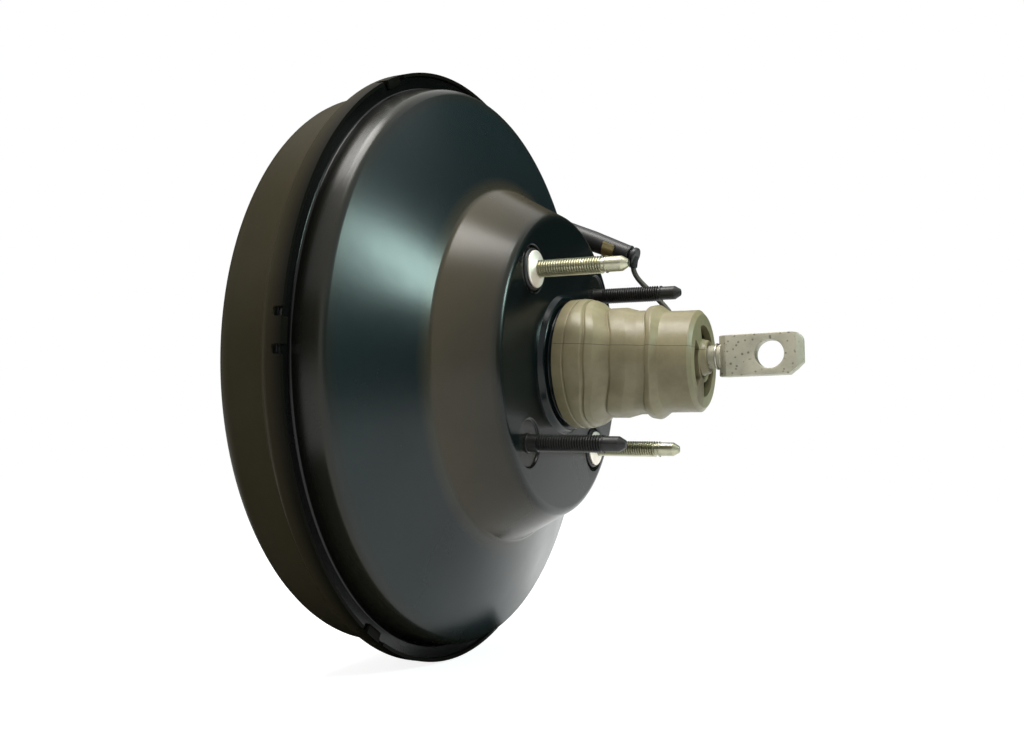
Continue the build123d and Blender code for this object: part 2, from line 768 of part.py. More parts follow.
with BuildPart() as rod_ring:
    rod_turned(
        (ring_start, pedal_rod_r),
        (ring_start, ring_r),
        (ring_start + ring_thick, ring_r),
        (ring_start + ring_thick, pedal_rod_r),
    )
finish(rod_ring, "rod_lock_ring")

eye_end = eye_start + eye_length
rod_up = (-sin(radians(pedal_rod_lift)), 0.0, cos(radians(pedal_rod_lift)))
with BuildPart() as pedal_eye:
    eye_side = Plane(origin=(ball_x, 0, 0), x_dir=rod_dir, z_dir=(0, -1, 0))
    with BuildSketch(eye_side.offset(-eye_thick / 2)) as eye:
        with Locations((eye_start + eye_length / 2, 0)):
            Rectangle(eye_length, eye_height)
        lower_corner, upper_corner = eye.vertices().group_by(Axis.X)[-1].sort_by(Axis.Y)
        chamfer(lower_corner, length=eye_chamfer)
        fillet(upper_corner, radius=eye_corner)
        with Locations((eye_end - eye_hole_back, 0)):
            Circle(eye_hole_r, mode=Mode.SUBTRACT)
    extrude(eye.sketch, amount=eye_thick)
    with BuildSketch(Plane(origin=(ball_x, 0, 0), x_dir=rod_dir, z_dir=rod_up)) as eye_plan:
        with BuildLine():
            Polyline(
                (eye_start, eye_thick / 2 - eye_bevel_depth),
                (eye_start + eye_bevel, eye_thick / 2),
                (eye_end, eye_thick / 2),
                (eye_end, -eye_thick / 2),
                (eye_start + eye_bevel, -eye_thick / 2),
                (eye_start, eye_bevel_depth - eye_thick / 2),
                close=True,
            )
        make_face()
    extrude(eye_plan.sketch, amount=eye_height, both=True, mode=Mode.INTERSECT)
finish(pedal_eye, "pedal_eye")

with BuildPart() as input_spring:
    coil(cup_back_x, ball_x + spring_seat_start - soft_gap, input_coil_r, input_wire_r, input_turns)
finish(input_spring, "input_return_spring")

# ---- filter and silencer in the tail ----
with BuildPart() as air_filter:
    tube(filter_x, filter_x + filter_thick, chamber_r, filter_inner_r)
finish(air_filter, "air_filter")

with BuildPart() as silencer:
    tube(filter_x + filter_thick, filter_x + filter_thick + silencer_thick, chamber_r, filter_inner_r)
finish(silencer, "silencer")

# ---- neck guide, which also stops the key, and the sliding seal ----
guide_bore_r = body_r + running_fit
with BuildPart() as neck_guide:
    turned(
        (key_back_x + soft_gap, guide_bore_r),
        (key_back_x + soft_gap, guide_nose_r),
        (guide_x, guide_nose_r),
        (guide_x, neck_r - sheet),
        (guide_back_x, neck_r - sheet),
        (guide_back_x, guide_bore_r),
    )
finish(neck_guide, "neck_guide")

with BuildPart() as neck_seal:
    turned(
        (guide_back_x, guide_bore_r),
        (guide_back_x, neck_r - sheet),
        (neck_x - sheet, neck_r - sheet - neck_bend),
        (neck_x - sheet, neck_r - neck_lip - soft_gap),
        (guide_back_x + seal_thick / 2, guide_bore_r + seal_thick / 2),
        (guide_back_x + seal_thick / 2, guide_bore_r),
    )
finish(neck_seal, "neck_seal")

# ---- boot: bellows from the neck to the tail, with a vented end and a collar on the pedal rod ----
boot_outline = [(boot_x + distance, radius) for distance, radius in boot_folds]
boot_inside = [
    (boot_end_x - boot_end_thick, boot_end_r - boot_wall),
    (body_tail_x + soft_gap, boot_end_r - boot_wall),
    (body_tail_x + soft_gap, body_r + soft_gap),
    (boot_grip_x + boot_wall, body_r + soft_gap),
    (boot_grip_x - boot_wall, boot_end_r),
    *[(boot_x + distance, radius - boot_wall) for distance, radius in boot_folds[9:4:-1]],
    (neck_x + soft_gap, neck_r - boot_wall),
    (neck_x + soft_gap, neck_r),
    (boot_x, neck_r),
]
collar_front = boot_end_x - boot_end_thick / 2 - ball_x
rod_play_r = pedal_rod_r + soft_gap
with BuildPart() as boot:
    with BuildSketch(Plane.XZ) as boot_section:
        with BuildLine():
            bellows = Spline(*boot_outline)
            Polyline(
                bellows @ 1,
                (boot_end_x - boot_edge, boot_end_r),
                (boot_end_x, boot_end_r - boot_edge),
                (boot_end_x, 0),
                (boot_end_x - boot_end_thick, 0),
                *boot_inside,
                bellows @ 0,
            )
        make_face()
    revolve(boot_section.sketch, axis=Axis.X)
    with BuildSketch(across(boot_end_x - boot_end_thick)) as windows:
        for i in range(window_count):
            first_deg = window_start_deg + i * 360 / window_count
            with BuildLine():
                inner_arc = CenterArc((0, 0), window_inner_r, first_deg, window_deg)
                outer_arc = CenterArc((0, 0), window_outer_r, first_deg, window_deg)
                Line(inner_arc @ 0, outer_arc @ 0)
                Line(inner_arc @ 1, outer_arc @ 1)
            make_face()
        fillet(windows.vertices(), radius=boot_edge)
    extrude(windows.sketch, amount=boot_end_thick, mode=Mode.SUBTRACT)
    rod_turned(
        (collar_front, rod_play_r),
        (collar_front, boot_collar_r),
        (collar_front + boot_collar_length, boot_collar_r),
        (collar_front + boot_collar_length, rod_play_r),
    )
    rod_turned(
        (collar_front - boot_end_thick, 0),
        (collar_front - boot_end_thick, rod_play_r),
        (collar_front + boot_end_thick, rod_play_r),
        (collar_front + boot_end_thick, 0),
        mode=Mode.SUBTRACT,
    )
finish(boot, "boot")

# ---- lead sleeve over its port, with plug, clip, lead and grommet ----
with BuildPart() as lead_sleeve:
    with BuildSketch(on_sleeve(-sleeve_length)) as sleeve_root:
        Circle(sleeve_root_r)
    with BuildSketch(on_sleeve(0)) as sleeve_end:
        Circle(sleeve_tip_r)
    loft([sleeve_root.sketch, sleeve_end.sketch])
    turned(
        (face_x, 0),
        (face_x, hub_top_r),
        (hub_root_x, hub_root_r),
        (shoulder_x, shoulder_r),
        (shoulder_x, 0),
        mode=Mode.SUBTRACT,
    )
    sleeve_bar(-port_root, port_length, port_r, mode=Mode.SUBTRACT)
    sleeve_bar(-plug_depth, plug_depth, plug_neck_r, mode=Mode.SUBTRACT)
finish(lead_sleeve, "lead_sleeve")

outlet_dir = (cos(radians(outlet_dip)), 0.0, -sin(radians(outlet_dip)))
plug_centre = along(sleeve_tip, sleeve_dir, plug_gap + plug_thick / 2)
outlet_mouth = along(plug_centre, outlet_dir, outlet_length)
lead_start = along(outlet_mouth, outlet_dir, -outlet_depth)
outlet_plane = Plane(origin=plug_centre, x_dir=(0, 1, 0), z_dir=outlet_dir)
with BuildPart() as lead_plug:
    sleeve_bar(-plug_depth, plug_depth + plug_gap, plug_neck_r)
    sleeve_bar(plug_gap, plug_thick, plug_r)
    fillet(lead_plug.edges().group_by(Axis(sleeve_tip, sleeve_dir))[-1], radius=plug_thick / 3)
    with BuildSketch(outlet_plane) as outlet:
        Circle(outlet_r)
    extrude(outlet.sketch, amount=outlet_length)
    with BuildSketch(outlet_plane.offset(outlet_length - outlet_depth)) as outlet_bore:
        Circle(lead_r + 2 * running_fit)
    extrude(outlet_bore.sketch, amount=outlet_depth, mode=Mode.SUBTRACT)
finish(lead_plug, "lead_plug")

with BuildPart() as lead_clip:
    clip_share = clip_back / sleeve_length
    clip_inner_r = sleeve_tip_r + (sleeve_root_r - sleeve_tip_r) * clip_share
    clip_outer_r = clip_inner_r + clip_thick
    with BuildSketch(on_sleeve(-clip_back)) as clip:
        Circle(clip_outer_r)
        Circle(clip_inner_r, mode=Mode.SUBTRACT)
        with Locations((0, clip_rise + clip_outer_r)):
            Rectangle(2 * clip_outer_r, 2 * clip_outer_r, mode=Mode.SUBTRACT)
        with Locations(
            (clip_inner_r + clip_lip / 2, clip_rise - clip_thick / 2),
            (-clip_inner_r - clip_lip / 2, clip_rise - clip_thick / 2),
        ):
            Rectangle(clip_lip, clip_thick)
    extrude(clip.sketch, amount=clip_width)
finish(lead_clip, "lead_clip")

with BuildPart() as lead_grommet:
    bars(grommet_place, face_x, face_x + lead_grommet_height, lead_grommet_r)
    bars(grommet_place, inner_face_x, face_x, lead_grommet_r - lead_grommet_groove)
    bars(grommet_place, inner_face_x - plate_thick, inner_face_x, lead_grommet_r)
    bars(grommet_place, inner_face_x - plate_thick, face_x + lead_grommet_height, lead_r,
         mode=Mode.SUBTRACT)
finish(lead_grommet, "lead_grommet")

# ---- lead: a loose wire from the plug's outlet to the hub's grommet ----
lead_end = (face_x, lead_grommet_y, lead_grommet_z)
lead_path = [lead_start, *lead_points, lead_end]
runs = [Vector(*b) - Vector(*a) for a, b in zip(lead_path, lead_path[1:])]
lead_bends = [
    lead_tangent_share * min(a.length, b.length) / tan(radians(a.get_angle(b) / 2))
    for a, b in zip(runs, runs[1:])
]
with BuildPart() as lead:
    with BuildLine() as lead_line:
        FilletPolyline(*lead_path, radius=lead_bends)
    with BuildSketch(Plane(origin=lead_line.line @ 0, z_dir=lead_line.line % 0)) as lead_section:
        Circle(lead_r)
    sweep(lead_section.sketch, path=lead_line.line)
finish(lead, "lead")
print("lead runs", [round(run.length, 1) for run in runs])
print("lead bend radii", [round(bend, 1) for bend in lead_bends])
print("lead length", round(sum(edge.length for edge in lead_line.edges()), 1))
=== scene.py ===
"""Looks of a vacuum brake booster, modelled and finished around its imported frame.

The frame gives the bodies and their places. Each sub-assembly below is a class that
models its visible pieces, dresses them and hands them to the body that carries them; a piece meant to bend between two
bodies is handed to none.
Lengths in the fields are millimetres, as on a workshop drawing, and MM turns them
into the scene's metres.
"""

import json
import logging
import math
from dataclasses import dataclass
from enum import Enum
from typing import Callable, Iterable, Optional, Sequence, Union

import bpy
from mathutils import Matrix, Vector

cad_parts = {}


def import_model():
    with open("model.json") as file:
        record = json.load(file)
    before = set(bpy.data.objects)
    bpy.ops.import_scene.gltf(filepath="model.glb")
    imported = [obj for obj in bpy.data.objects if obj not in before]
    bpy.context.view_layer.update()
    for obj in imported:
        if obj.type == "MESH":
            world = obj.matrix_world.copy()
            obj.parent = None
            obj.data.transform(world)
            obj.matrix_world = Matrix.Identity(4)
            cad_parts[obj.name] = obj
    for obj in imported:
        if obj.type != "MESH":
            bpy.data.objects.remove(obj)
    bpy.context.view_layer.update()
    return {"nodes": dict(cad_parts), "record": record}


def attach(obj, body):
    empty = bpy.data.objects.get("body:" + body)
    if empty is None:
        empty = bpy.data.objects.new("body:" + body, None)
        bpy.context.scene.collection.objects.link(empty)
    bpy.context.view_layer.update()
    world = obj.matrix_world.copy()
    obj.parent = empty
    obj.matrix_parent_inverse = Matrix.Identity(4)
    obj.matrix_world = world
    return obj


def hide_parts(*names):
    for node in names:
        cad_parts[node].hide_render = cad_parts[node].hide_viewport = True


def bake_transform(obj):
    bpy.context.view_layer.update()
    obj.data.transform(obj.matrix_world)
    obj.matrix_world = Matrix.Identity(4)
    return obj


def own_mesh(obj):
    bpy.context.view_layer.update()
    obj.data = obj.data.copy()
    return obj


MM = 0.001
AXIS = Vector((1.0, 0.0, 0.0))
BOOSTER_MIDDLE = (-0.03, 0, 0)
WELD = 0.002 * MM
SEAM_WELD = 0.01 * MM
ROD_LIFT = 1.4
BALL_X = -2.0
log = logging.getLogger("booster")

Point = tuple[float, float]
Corner = tuple[float, float, float]
Place = tuple[float, float, float]
Colour = tuple[float, float, float]
Piece = bpy.types.Object
Node = bpy.types.Node
Outputs = bpy.types.NodeOutputs
Socket = bpy.types.NodeSocket
Tree = bpy.types.NodeTree
Feed = Union[Socket, float, Sequence[float]]
Inputs = dict[Union[int, str], Feed]


class Body(str, Enum):
    """Rigid bodies of the frame that pieces ride on."""

    HOUSING = "housing"
    PISTON = "power_piston"
    PLUNGER = "input_plunger"
    ROD = "input_rod"


class Slot(str, Enum):
    """Material slots of the record."""

    FRONT_PAINT = "front_paint"
    REAR_PAINT = "rear_paint"
    ZINC = "zinc_plate"
    BLACK_OXIDE = "black_oxide"
    STEEL = "bare_steel"
    FORGED = "forged_steel"
    BOOT = "boot_rubber"
    RUBBER = "black_rubber"
    PHENOLIC = "phenolic"
    NYLON = "nylon"
    FELT = "felt"
    BRASS = "brass"
    LEAD = "lead_cover"


# ---------------------------------------------------------------- mesh work


def deselect_everything() -> None:
    """Leave nothing selected, so that an operator touches only what is picked next."""
    if bpy.context.object and bpy.context.object.mode != "OBJECT":
        bpy.ops.object.mode_set(mode="OBJECT")
    bpy.ops.object.select_all(action="DESELECT")


def pick(piece: Piece) -> None:
    """Make one piece the only selected and active object.

    Args:
        piece: The object to pick.
    """
    deselect_everything()
    piece.select_set(True)
    bpy.context.view_layer.objects.active = piece


def rounded(corners: Sequence[Corner], step_deg: float = 9.0) -> list[Point]:
    """Turn an outline with a bend radius at each corner into points with true arcs.

    Args:
        corners: (x, radius, bend) in millimetres; a bend of 0 keeps the corner sharp.
        step_deg: The turn between neighbouring points of an arc.

    Returns:
        The outline as (x, radius) points in millimetres.
    """
    points: list[Point] = []
    last = len(corners) - 1
    for i, (x, r, bend) in enumerate(corners):
        here = Vector((x, r))
        if bend <= 0 or i in (0, last):
            points.append((x, r))
            continue
        back = (Vector(corners[i - 1][:2]) - here).normalized()
        ahead = (Vector(corners[i + 1][:2]) - here).normalized()
        half_turn = (math.pi - back.angle(ahead)) / 2
        tangent = bend * math.tan(half_turn)
        centre = here + (back + ahead).normalized() * (bend / math.cos(half_turn))
        start = here + back * tangent - centre
        side = 1.0 if back.x * ahead.y - back.y * ahead.x < 0 else -1.0
        steps = max(2, math.ceil(math.degrees(2 * half_turn) / step_deg))
        for k in range(steps + 1):
            turn = side * 2 * half_turn * k / steps
            spoke = Matrix.Rotation(turn, 2) @ start
            points.append((centre.x + spoke.x, centre.y + spoke.y))
    return points


def profile(name: str, points: Sequence[Point], closed: bool) -> Piece:
    """Draw an outline in the XZ plane as a chain of edges.

    Args:
        name: The piece's name.
        points: (x, radius) points in millimetres.
        closed: Whether the last point joins the first.

    Returns:
        The outline, in edit mode with every vertex selected.
    """
    deselect_everything()
    bpy.ops.mesh.primitive_plane_add(size=MM, location=(0, 0, 0))
    piece = bpy.context.object
    piece.name = name
    piece.data.name = name
    bpy.ops.object.mode_set(mode="EDIT")
    bpy.ops.mesh.merge(type="CENTER")
    chain = [*points, points[0]] if closed else points
    x0, r0 = chain[0]
    bpy.ops.transform.translate(value=(x0 * MM, 0, r0 * MM))
    for (xa, ra), (xb, rb) in zip(chain, chain[1:]):
        shift = ((xb - xa) * MM, 0, (rb - ra) * MM)
        bpy.ops.mesh.extrude_vertices_move(TRANSFORM_OT_translate={"value": shift})
    bpy.ops.mesh.select_all(action="SELECT")
    return piece


def face_outwards() -> None:
    """Turn every face of the piece being edited outwards, and leave edit mode."""
    bpy.ops.mesh.select_all(action="SELECT")
    bpy.ops.mesh.normals_make_consistent(inside=False)
    bpy.ops.object.mode_set(mode="OBJECT")


def spin(steps: int, degrees: float) -> None:
    """Turn what is selected about the booster's axis, in so many steps and degrees."""
    bpy.ops.mesh.spin(steps=steps, angle=math.radians(degrees), center=(0, 0, 0), axis=(1, 0, 0))


def lathe(name: str, points: Sequence[Point], closed: bool = True, steps: int = 96, degrees: float = 360.0) -> Piece:
    """Turn an outline about the booster's axis.

    Args:
        name: The piece's name.
        points: (x, radius) points in millimetres; an open outline ends on the axis.
        closed: Whether the outline is a closed ring section.
        steps: How many faces go round.
        degrees: How far it goes round.

    Returns:
        The turned piece, in object mode.
    """
    piece = profile(name, points, closed)
    spin(steps, degrees)
    bpy.ops.mesh.select_all(action="SELECT")
    bpy.ops.mesh.remove_doubles(threshold=WELD)
    face_outwards()
    return piece


def heading(lift: float) -> Vector:
    """Unit direction in the XZ plane, so many degrees above the booster's axis."""
    return Vector((math.cos(math.radians(lift)), 0, math.sin(math.radians(lift))))


def turn_about_axis(piece: Piece, degrees: float) -> None:
    """Turn a piece about the booster's axis, and keep that in its mesh.

    Args:
        piece: The piece.
        degrees: The turn, positive from +Y towards +Z.
    """
    pick(piece)
    piece.rotation_euler = (math.radians(degrees), 0, 0)
    bpy.ops.object.transform_apply()


def place(piece: Piece, origin: Place = (0, 0, 0), direction: Vector = AXIS) -> None:
    """Move a piece made on the X axis to its own axis, and keep that in its mesh.

    Args:
        piece: The piece to move.
        origin: Where the piece's zero goes, in millimetres.
        direction: The way its +X axis points.
    """
    pick(piece)
    piece.rotation_mode = "QUATERNION"
    piece.rotation_quaternion = AXIS.rotation_difference(Vector(direction).normalized())
    piece.location = Vector(origin) * MM
    bpy.ops.object.transform_apply()


def smooth(piece: Piece, crease_deg: float = 35.0) -> None:
    """Shade a piece smooth, with edges sharper than the crease in degrees kept crisp."""
    pick(piece)
    bpy.ops.object.shade_smooth_by_angle(angle=math.radians(crease_deg))


def apply_modifiers(piece: Piece) -> None:
    """Apply every modifier of a piece in order.

    Args:
        piece: The piece to finish.
    """
    pick(piece)
    for name in [modifier.name for modifier in piece.modifiers]:
        bpy.ops.object.modifier_apply(modifier=name)


def cut(piece: Piece, tool: Piece, operation: str = "DIFFERENCE") -> None:
    """Cut a piece with a closed tool, and remove the tool.

    Args:
        piece: The piece to cut.
        tool: The closed mesh that is taken away from it, or kept in common with it.
        operation: DIFFERENCE to take the tool away, INTERSECT to keep what both fill.
    """
    modifier = piece.modifiers.new("cut", "BOOLEAN")
    modifier.operation = operation
    modifier.solver = "EXACT"
    modifier.object = tool
    apply_modifiers(piece)
    bpy.data.objects.remove(tool, do_unlink=True)


def join(name: str, pieces: Sequence[Piece]) -> Piece:
    """Join several meshes into one named piece.

    Args:
        name: The joined piece's name.
        pieces: The meshes to join.

    Returns:
        The joined piece.
    """
    deselect_everything()
    for piece in pieces:
        piece.select_set(True)
    bpy.context.view_layer.objects.active = pieces[0]
    if len(pieces) > 1:
        bpy.ops.object.join()
    pieces[0].name = name
    pieces[0].data.name = name
    return pieces[0]


def block(name: str, low: Place, high: Place) -> Piece:
    """Make a plain box between two corners, as a blank to be shaped or as a cutter.

    Args:
        name: The box's name.
        low: Its lowest corner, in millimetres.
        high: Its highest corner, in millimetres.

    Returns:
        The box, with its place in its mesh.
    """
    deselect_everything()
    centre = [(a + b) / 2 * MM for a, b in zip(low, high)]
    size = [(b - a) * MM for a, b in zip(low, high)]
    bpy.ops.mesh.primitive_cube_add(size=1, location=centre)
    piece = bpy.context.object
    piece.name = name
    piece.scale = size
    bpy.ops.object.transform_apply()
    return piece


def chamfered(piece: Piece, width: float, segments: int = 3) -> None:
    """Break the sharp edges of a piece with a small round.

    Args:
        piece: The piece to finish.
        width: The round's width in millimetres.
        segments: How many facets make the round.
    """
    modifier = piece.modifiers.new("round", "BEVEL")
    modifier.width = width * MM
    modifier.segments = segments
    modifier.limit_method = "ANGLE"
    modifier.angle_limit = math.radians(35)
    modifier.harden_normals = False
    apply_modifiers(piece)


def panel(name: str, points: Sequence[Point]) -> Piece:
    """Fill an outline in the XZ plane.

    Args:
        name: The piece's name.
        points: (x, z) points in millimetres.

    Returns:
        The flat face, in edit mode and selected.
    """
    piece = profile(name, points, closed=True)
    bpy.ops.mesh.remove_doubles(threshold=SEAM_WELD)
    bpy.ops.mesh.edge_face_add()
    return piece


def prism(name: str, points: Sequence[Point], half: float) -> Piece:
    """Draw an outline in the XZ plane out into a prism along Y.

    Args:
        name: The piece's name.
        points: (x, z) points in millimetres.
        half: How far the prism reaches to either side of the plane.

    Returns:
        The closed prism.
    """
    piece = panel(name, points)
    bpy.ops.transform.translate(value=(0, -half * MM, 0))
    bpy.ops.mesh.extrude_region_move(TRANSFORM_OT_translate={"value": (0, 2 * half * MM, 0)})
    face_outwards()
    return piece


def copies(piece: Piece, count: int) -> list[Piece]:
    """Copy a piece, each copy with a mesh of its own.

    Args:
        piece: The piece to copy.
        count: How many pieces there are in all.

    Returns:
        The piece and its copies.
    """
    made = [piece]
    for _ in range(count - 1):
        twin = piece.copy()
        twin.data = piece.data.copy()
        bpy.context.collection.objects.link(twin)
        made.append(twin)
    return made


# ---------------------------------------------------------------- shader nodes


def feed(tree: Tree, node: Node, inputs: Inputs) -> None:
    """Feed a node's inputs.

    Args:
        tree: The node's tree.
        node: The node.
        inputs: A socket to link or a constant, by the input's name or number.
    """
    for key, value in inputs.items():
        if isinstance(value, Socket):
            tree.links.new(value, node.inputs[key])
        else:
            node.inputs[key].default_value = value


def add(tree: Tree, kind: str, inputs: Inputs, **settings: object) -> Outputs:
    """Add a shader node, set it up and feed it.

    Args:
        tree: The tree to work in.
        kind: The node's type, without its ShaderNode.
        inputs: What feed takes.
        settings: The node's own settings.

    Returns:
        The node's outputs.
    """
    node = tree.nodes.new(f"ShaderNode{kind}")
    for name, value in settings.items():
        setattr(node, name, value)
    feed(tree, node, inputs)
    return node.outputs


def math_node(tree: Tree, operation: str, *values: Feed, **settings: object) -> Socket:
    """Add a Math node with its inputs in order and its other settings, and give its result."""
    return add(tree, "Math", dict(enumerate(values)), operation=operation, **settings)[0]


def mix_colour(tree: Tree, factor: Feed, first: Feed, second: Feed, blend_type: str = "MIX") -> Socket:
    """Mix two colours, with the factor as the second one's share, and give the mixed one."""
    return add(tree, "Mix", {0: factor, 6: first, 7: second}, data_type="RGBA", blend_type=blend_type)[2]


class Effects:
    """Shader node groups that turn a Vector into a Mask, each built once and shared by several finishes."""

    _built: dict[str, Tree] = {}

    @classmethod
    def group(cls, name: str, levels: dict[str, float],
              build: Callable[[Tree, Outputs], Socket],
              ) -> Tree:
        """Give a node group by name, and build it the first time.

        Args:
            name: The group's name.
            levels: Defaults of its Float inputs.
            build: Makes the mask from the group's inputs.

        Returns:
            The node group.
        """
        if name not in cls._built:
            tree = bpy.data.node_groups.new(name, "ShaderNodeTree")
            tree.interface.new_socket("Vector", in_out="INPUT", socket_type="NodeSocketVector")
            for level, value in levels.items():
                made = tree.interface.new_socket(level, in_out="INPUT", socket_type="NodeSocketFloat")
                made.default_value = value
            tree.interface.new_socket("Mask", in_out="OUTPUT", socket_type="NodeSocketFloat")
            given, mask = tree.nodes.new("NodeGroupInput"), tree.nodes.new("NodeGroupOutput")
            tree.links.new(build(tree, given.outputs), mask.inputs["Mask"])
            cls._built[name] = tree
        return cls._built[name]

    @classmethod
    def mottle(cls) -> Tree:
        """Soft clouds of tone at one scale, from 0 to 1."""

        def build(tree: Tree, given: Outputs) -> Socket:
            noise = add(tree, "TexNoise", {"Vector": given["Vector"], "Scale": given["Scale"], "Detail": 5.0,
                                           "Roughness": 0.6})
            centred = math_node(tree, "SUBTRACT", noise["Fac"], 0.5)
            spread = math_node(tree, "MULTIPLY", centred, given["Contrast"])
            return math_node(tree, "ADD", spread, 0.5, use_clamp=True)

        return cls.group("mottle", {"Scale": 40.0, "Contrast": 0.5}, build)

    @classmethod
    def specks(cls) -> Tree:
        """Scattered dots of dirt or rust, white on black."""

        def build(tree: Tree, given: Outputs) -> Socket:
            where = {"Vector": given["Vector"], "Scale": given["Scale"]}
            cells = add(tree, "TexVoronoi", {**where, "Randomness": 1.0})
            ragged = add(tree, "TexNoise", {**where, "Detail": 4.0})
            distance = math_node(tree, "MULTIPLY_ADD", ragged["Fac"], 0.35, cells["Distance"])
            edge = math_node(tree, "MULTIPLY_ADD", given["Amount"], 1.0, 0.12)
            ramp = add(tree, "MapRange", {"Value": distance, "From Min": 0.0, "From Max": edge, "To Min": 1.0,
                                          "To Max": 0.0})
            return math_node(tree, "POWER", ramp["Result"], 0.5)

        return cls.group("specks", {"Scale": 400.0, "Amount": 0.3}, build)


@dataclass(frozen=True)
class Finish:
    """One surface finish, dressed over a Principled BSDF.

    Attributes:
        name: The material's name.
        colour: Main colour, linear.
        second: Colour that the mottle mixes in.
        roughness: Lowest and highest roughness over the mottle.
        metallic: 1 for bare metal.
        specular: Specular level, 0.5 for plain plastic.
        mottle_scale: Scale of the clouds, per metre.
        contrast: Strength of the clouds.
        speck: Colour of the dirt or rust specks.
        speck_scale: Scale of the specks, per metre.
        speck_amount: Share of the surface that the specks reach.
        grain_scale: Scale of the bump, per metre.
        grain: Height of the bump in millimetres.
    """

    name: str
    colour: Colour
    second: Colour
    roughness: Point = (0.4, 0.55)
    metallic: float = 0.0
    specular: float = 0.5
    mottle_scale: float = 30.0
    contrast: float = 1.6
    speck: Colour = (0.05, 0.03, 0.02)
    speck_scale: float = 500.0
    speck_amount: float = 0.0
    grain_scale: float = 900.0
    grain: float = 0.02

    def material(self) -> bpy.types.Material:
        """Build the material, or give the one already built.

        Returns:
            The material.
        """
        name = f"{self.name}_finish"
        found = bpy.data.materials.get(name)
        if found:
            return found
        made = bpy.data.materials.new(name)
        made.use_nodes = True
        tree = made.node_tree
        where = add(tree, "TexCoord", {})["Object"]
        clouds = self.effect(tree, Effects.mottle(), where, {"Scale": self.mottle_scale, "Contrast": self.contrast})
        colour = mix_colour(tree, clouds, (*self.colour, 1), (*self.second, 1))
        colour = self.colour_chain(tree, where, colour)
        if self.speck_amount > 0:
            dots = self.effect(tree, Effects.specks(), where, {"Scale": self.speck_scale, "Amount": self.speck_amount})
            colour = mix_colour(tree, dots, colour, (*self.speck, 1))
        rough = add(tree, "MapRange", {"Value": clouds, "To Min": self.roughness[0], "To Max": self.roughness[1]})
        grain = add(tree, "TexNoise", {"Vector": where, "Scale": self.grain_scale, "Detail": 3.0})
        relief = add(tree, "Bump", {"Strength": 1.0, "Distance": self.grain * MM, "Height": grain["Fac"]})
        feed(tree, tree.nodes["Principled BSDF"], {
            "Metallic": self.metallic, "Specular IOR Level": self.specular, "Base Color": colour,
            "Roughness": rough["Result"], "Normal": relief["Normal"]})
        return made

    def colour_chain(self, tree: Tree, where: Socket, colour: Socket) -> Socket:
        """Change the mottled colour before the specks go on; the plain finish leaves it."""
        return colour

    @staticmethod
    def effect(tree: Tree, group: Tree, where: Socket, levels: Inputs) -> Socket:
        """Put a shared effect with its levels into a material, and give its mask."""
        return add(tree, "Group", {"Vector": where, **levels}, node_tree=group)["Mask"]


@dataclass(frozen=True)
class PressedPaint(Finish):
    """Gloss paint over pressed steel, coloured in bands along the booster's axis: the bands hold the paint's own tone
    together with painted reflection and painted shade.

    Attributes:
        tone_and_painted_light_zones: (x in millimetres, colour) stops along the axis.
    """

    tone_and_painted_light_zones: tuple[tuple[float, Colour], ...] = ()

    def colour_chain(self, tree: Tree, where: Socket, colour: Socket) -> Socket:
        """Multiply the axial colour bands, paint tone with painted reflection and painted shade, into the mottled
        colour, as Finish.colour_chain describes.
        """
        low, high = self.tone_and_painted_light_zones[0][0], self.tone_and_painted_light_zones[-1][0]
        along = add(tree, "SeparateXYZ", {0: where})["X"]
        span = add(tree, "MapRange", {"Value": along, "From Min": low * MM, "From Max": high * MM})
        ramp = tree.nodes.new("ShaderNodeValToRGB")
        stops = ramp.color_ramp.elements
        while len(stops) < len(self.tone_and_painted_light_zones):
            stops.new(0.5)
        for stop, (x, tone) in zip(stops, self.tone_and_painted_light_zones):
            stop.position = (x - low) / (high - low)
            stop.color = (*tone, 1)
        feed(tree, ramp, {"Fac": span["Result"]})
        return mix_colour(tree, 1.0, ramp.outputs["Color"], colour, "MULTIPLY")


@dataclass(frozen=True)
class MouldedRubber(Finish):
    """Rubber with the dark parting line of its mould along the side.

    Attributes:
        seam: (z in millimetres at x = 0, rise per unit of x) of the line on the -Y side.
        seam_half: Half the line's width in millimetres.
        seam_strength: How much the line covers.
        seam_colour: The line's colour.
    """

    seam: Point = (6.5, -0.03)
    seam_half: float = 0.16
    seam_strength: float = 0.6
    seam_colour: Colour = (0.03, 0.025, 0.012)

    def colour_chain(self, tree: Tree, where: Socket, colour: Socket) -> Socket:
        """Darken the colour along the parting line, as Finish.colour_chain describes."""
        axes = add(tree, "SeparateXYZ", {0: where})
        line = math_node(tree, "MULTIPLY_ADD", axes["X"], self.seam[1], self.seam[0] * MM)
        near = math_node(tree, "COMPARE", axes["Z"], line, self.seam_half * MM)
        side = math_node(tree, "LESS_THAN", axes["Y"], 0.0)
        both = math_node(tree, "MULTIPLY", side, near)
        soft = math_node(tree, "MULTIPLY", both, self.seam_strength)
        return mix_colour(tree, soft, colour, (*self.seam_colour, 1))


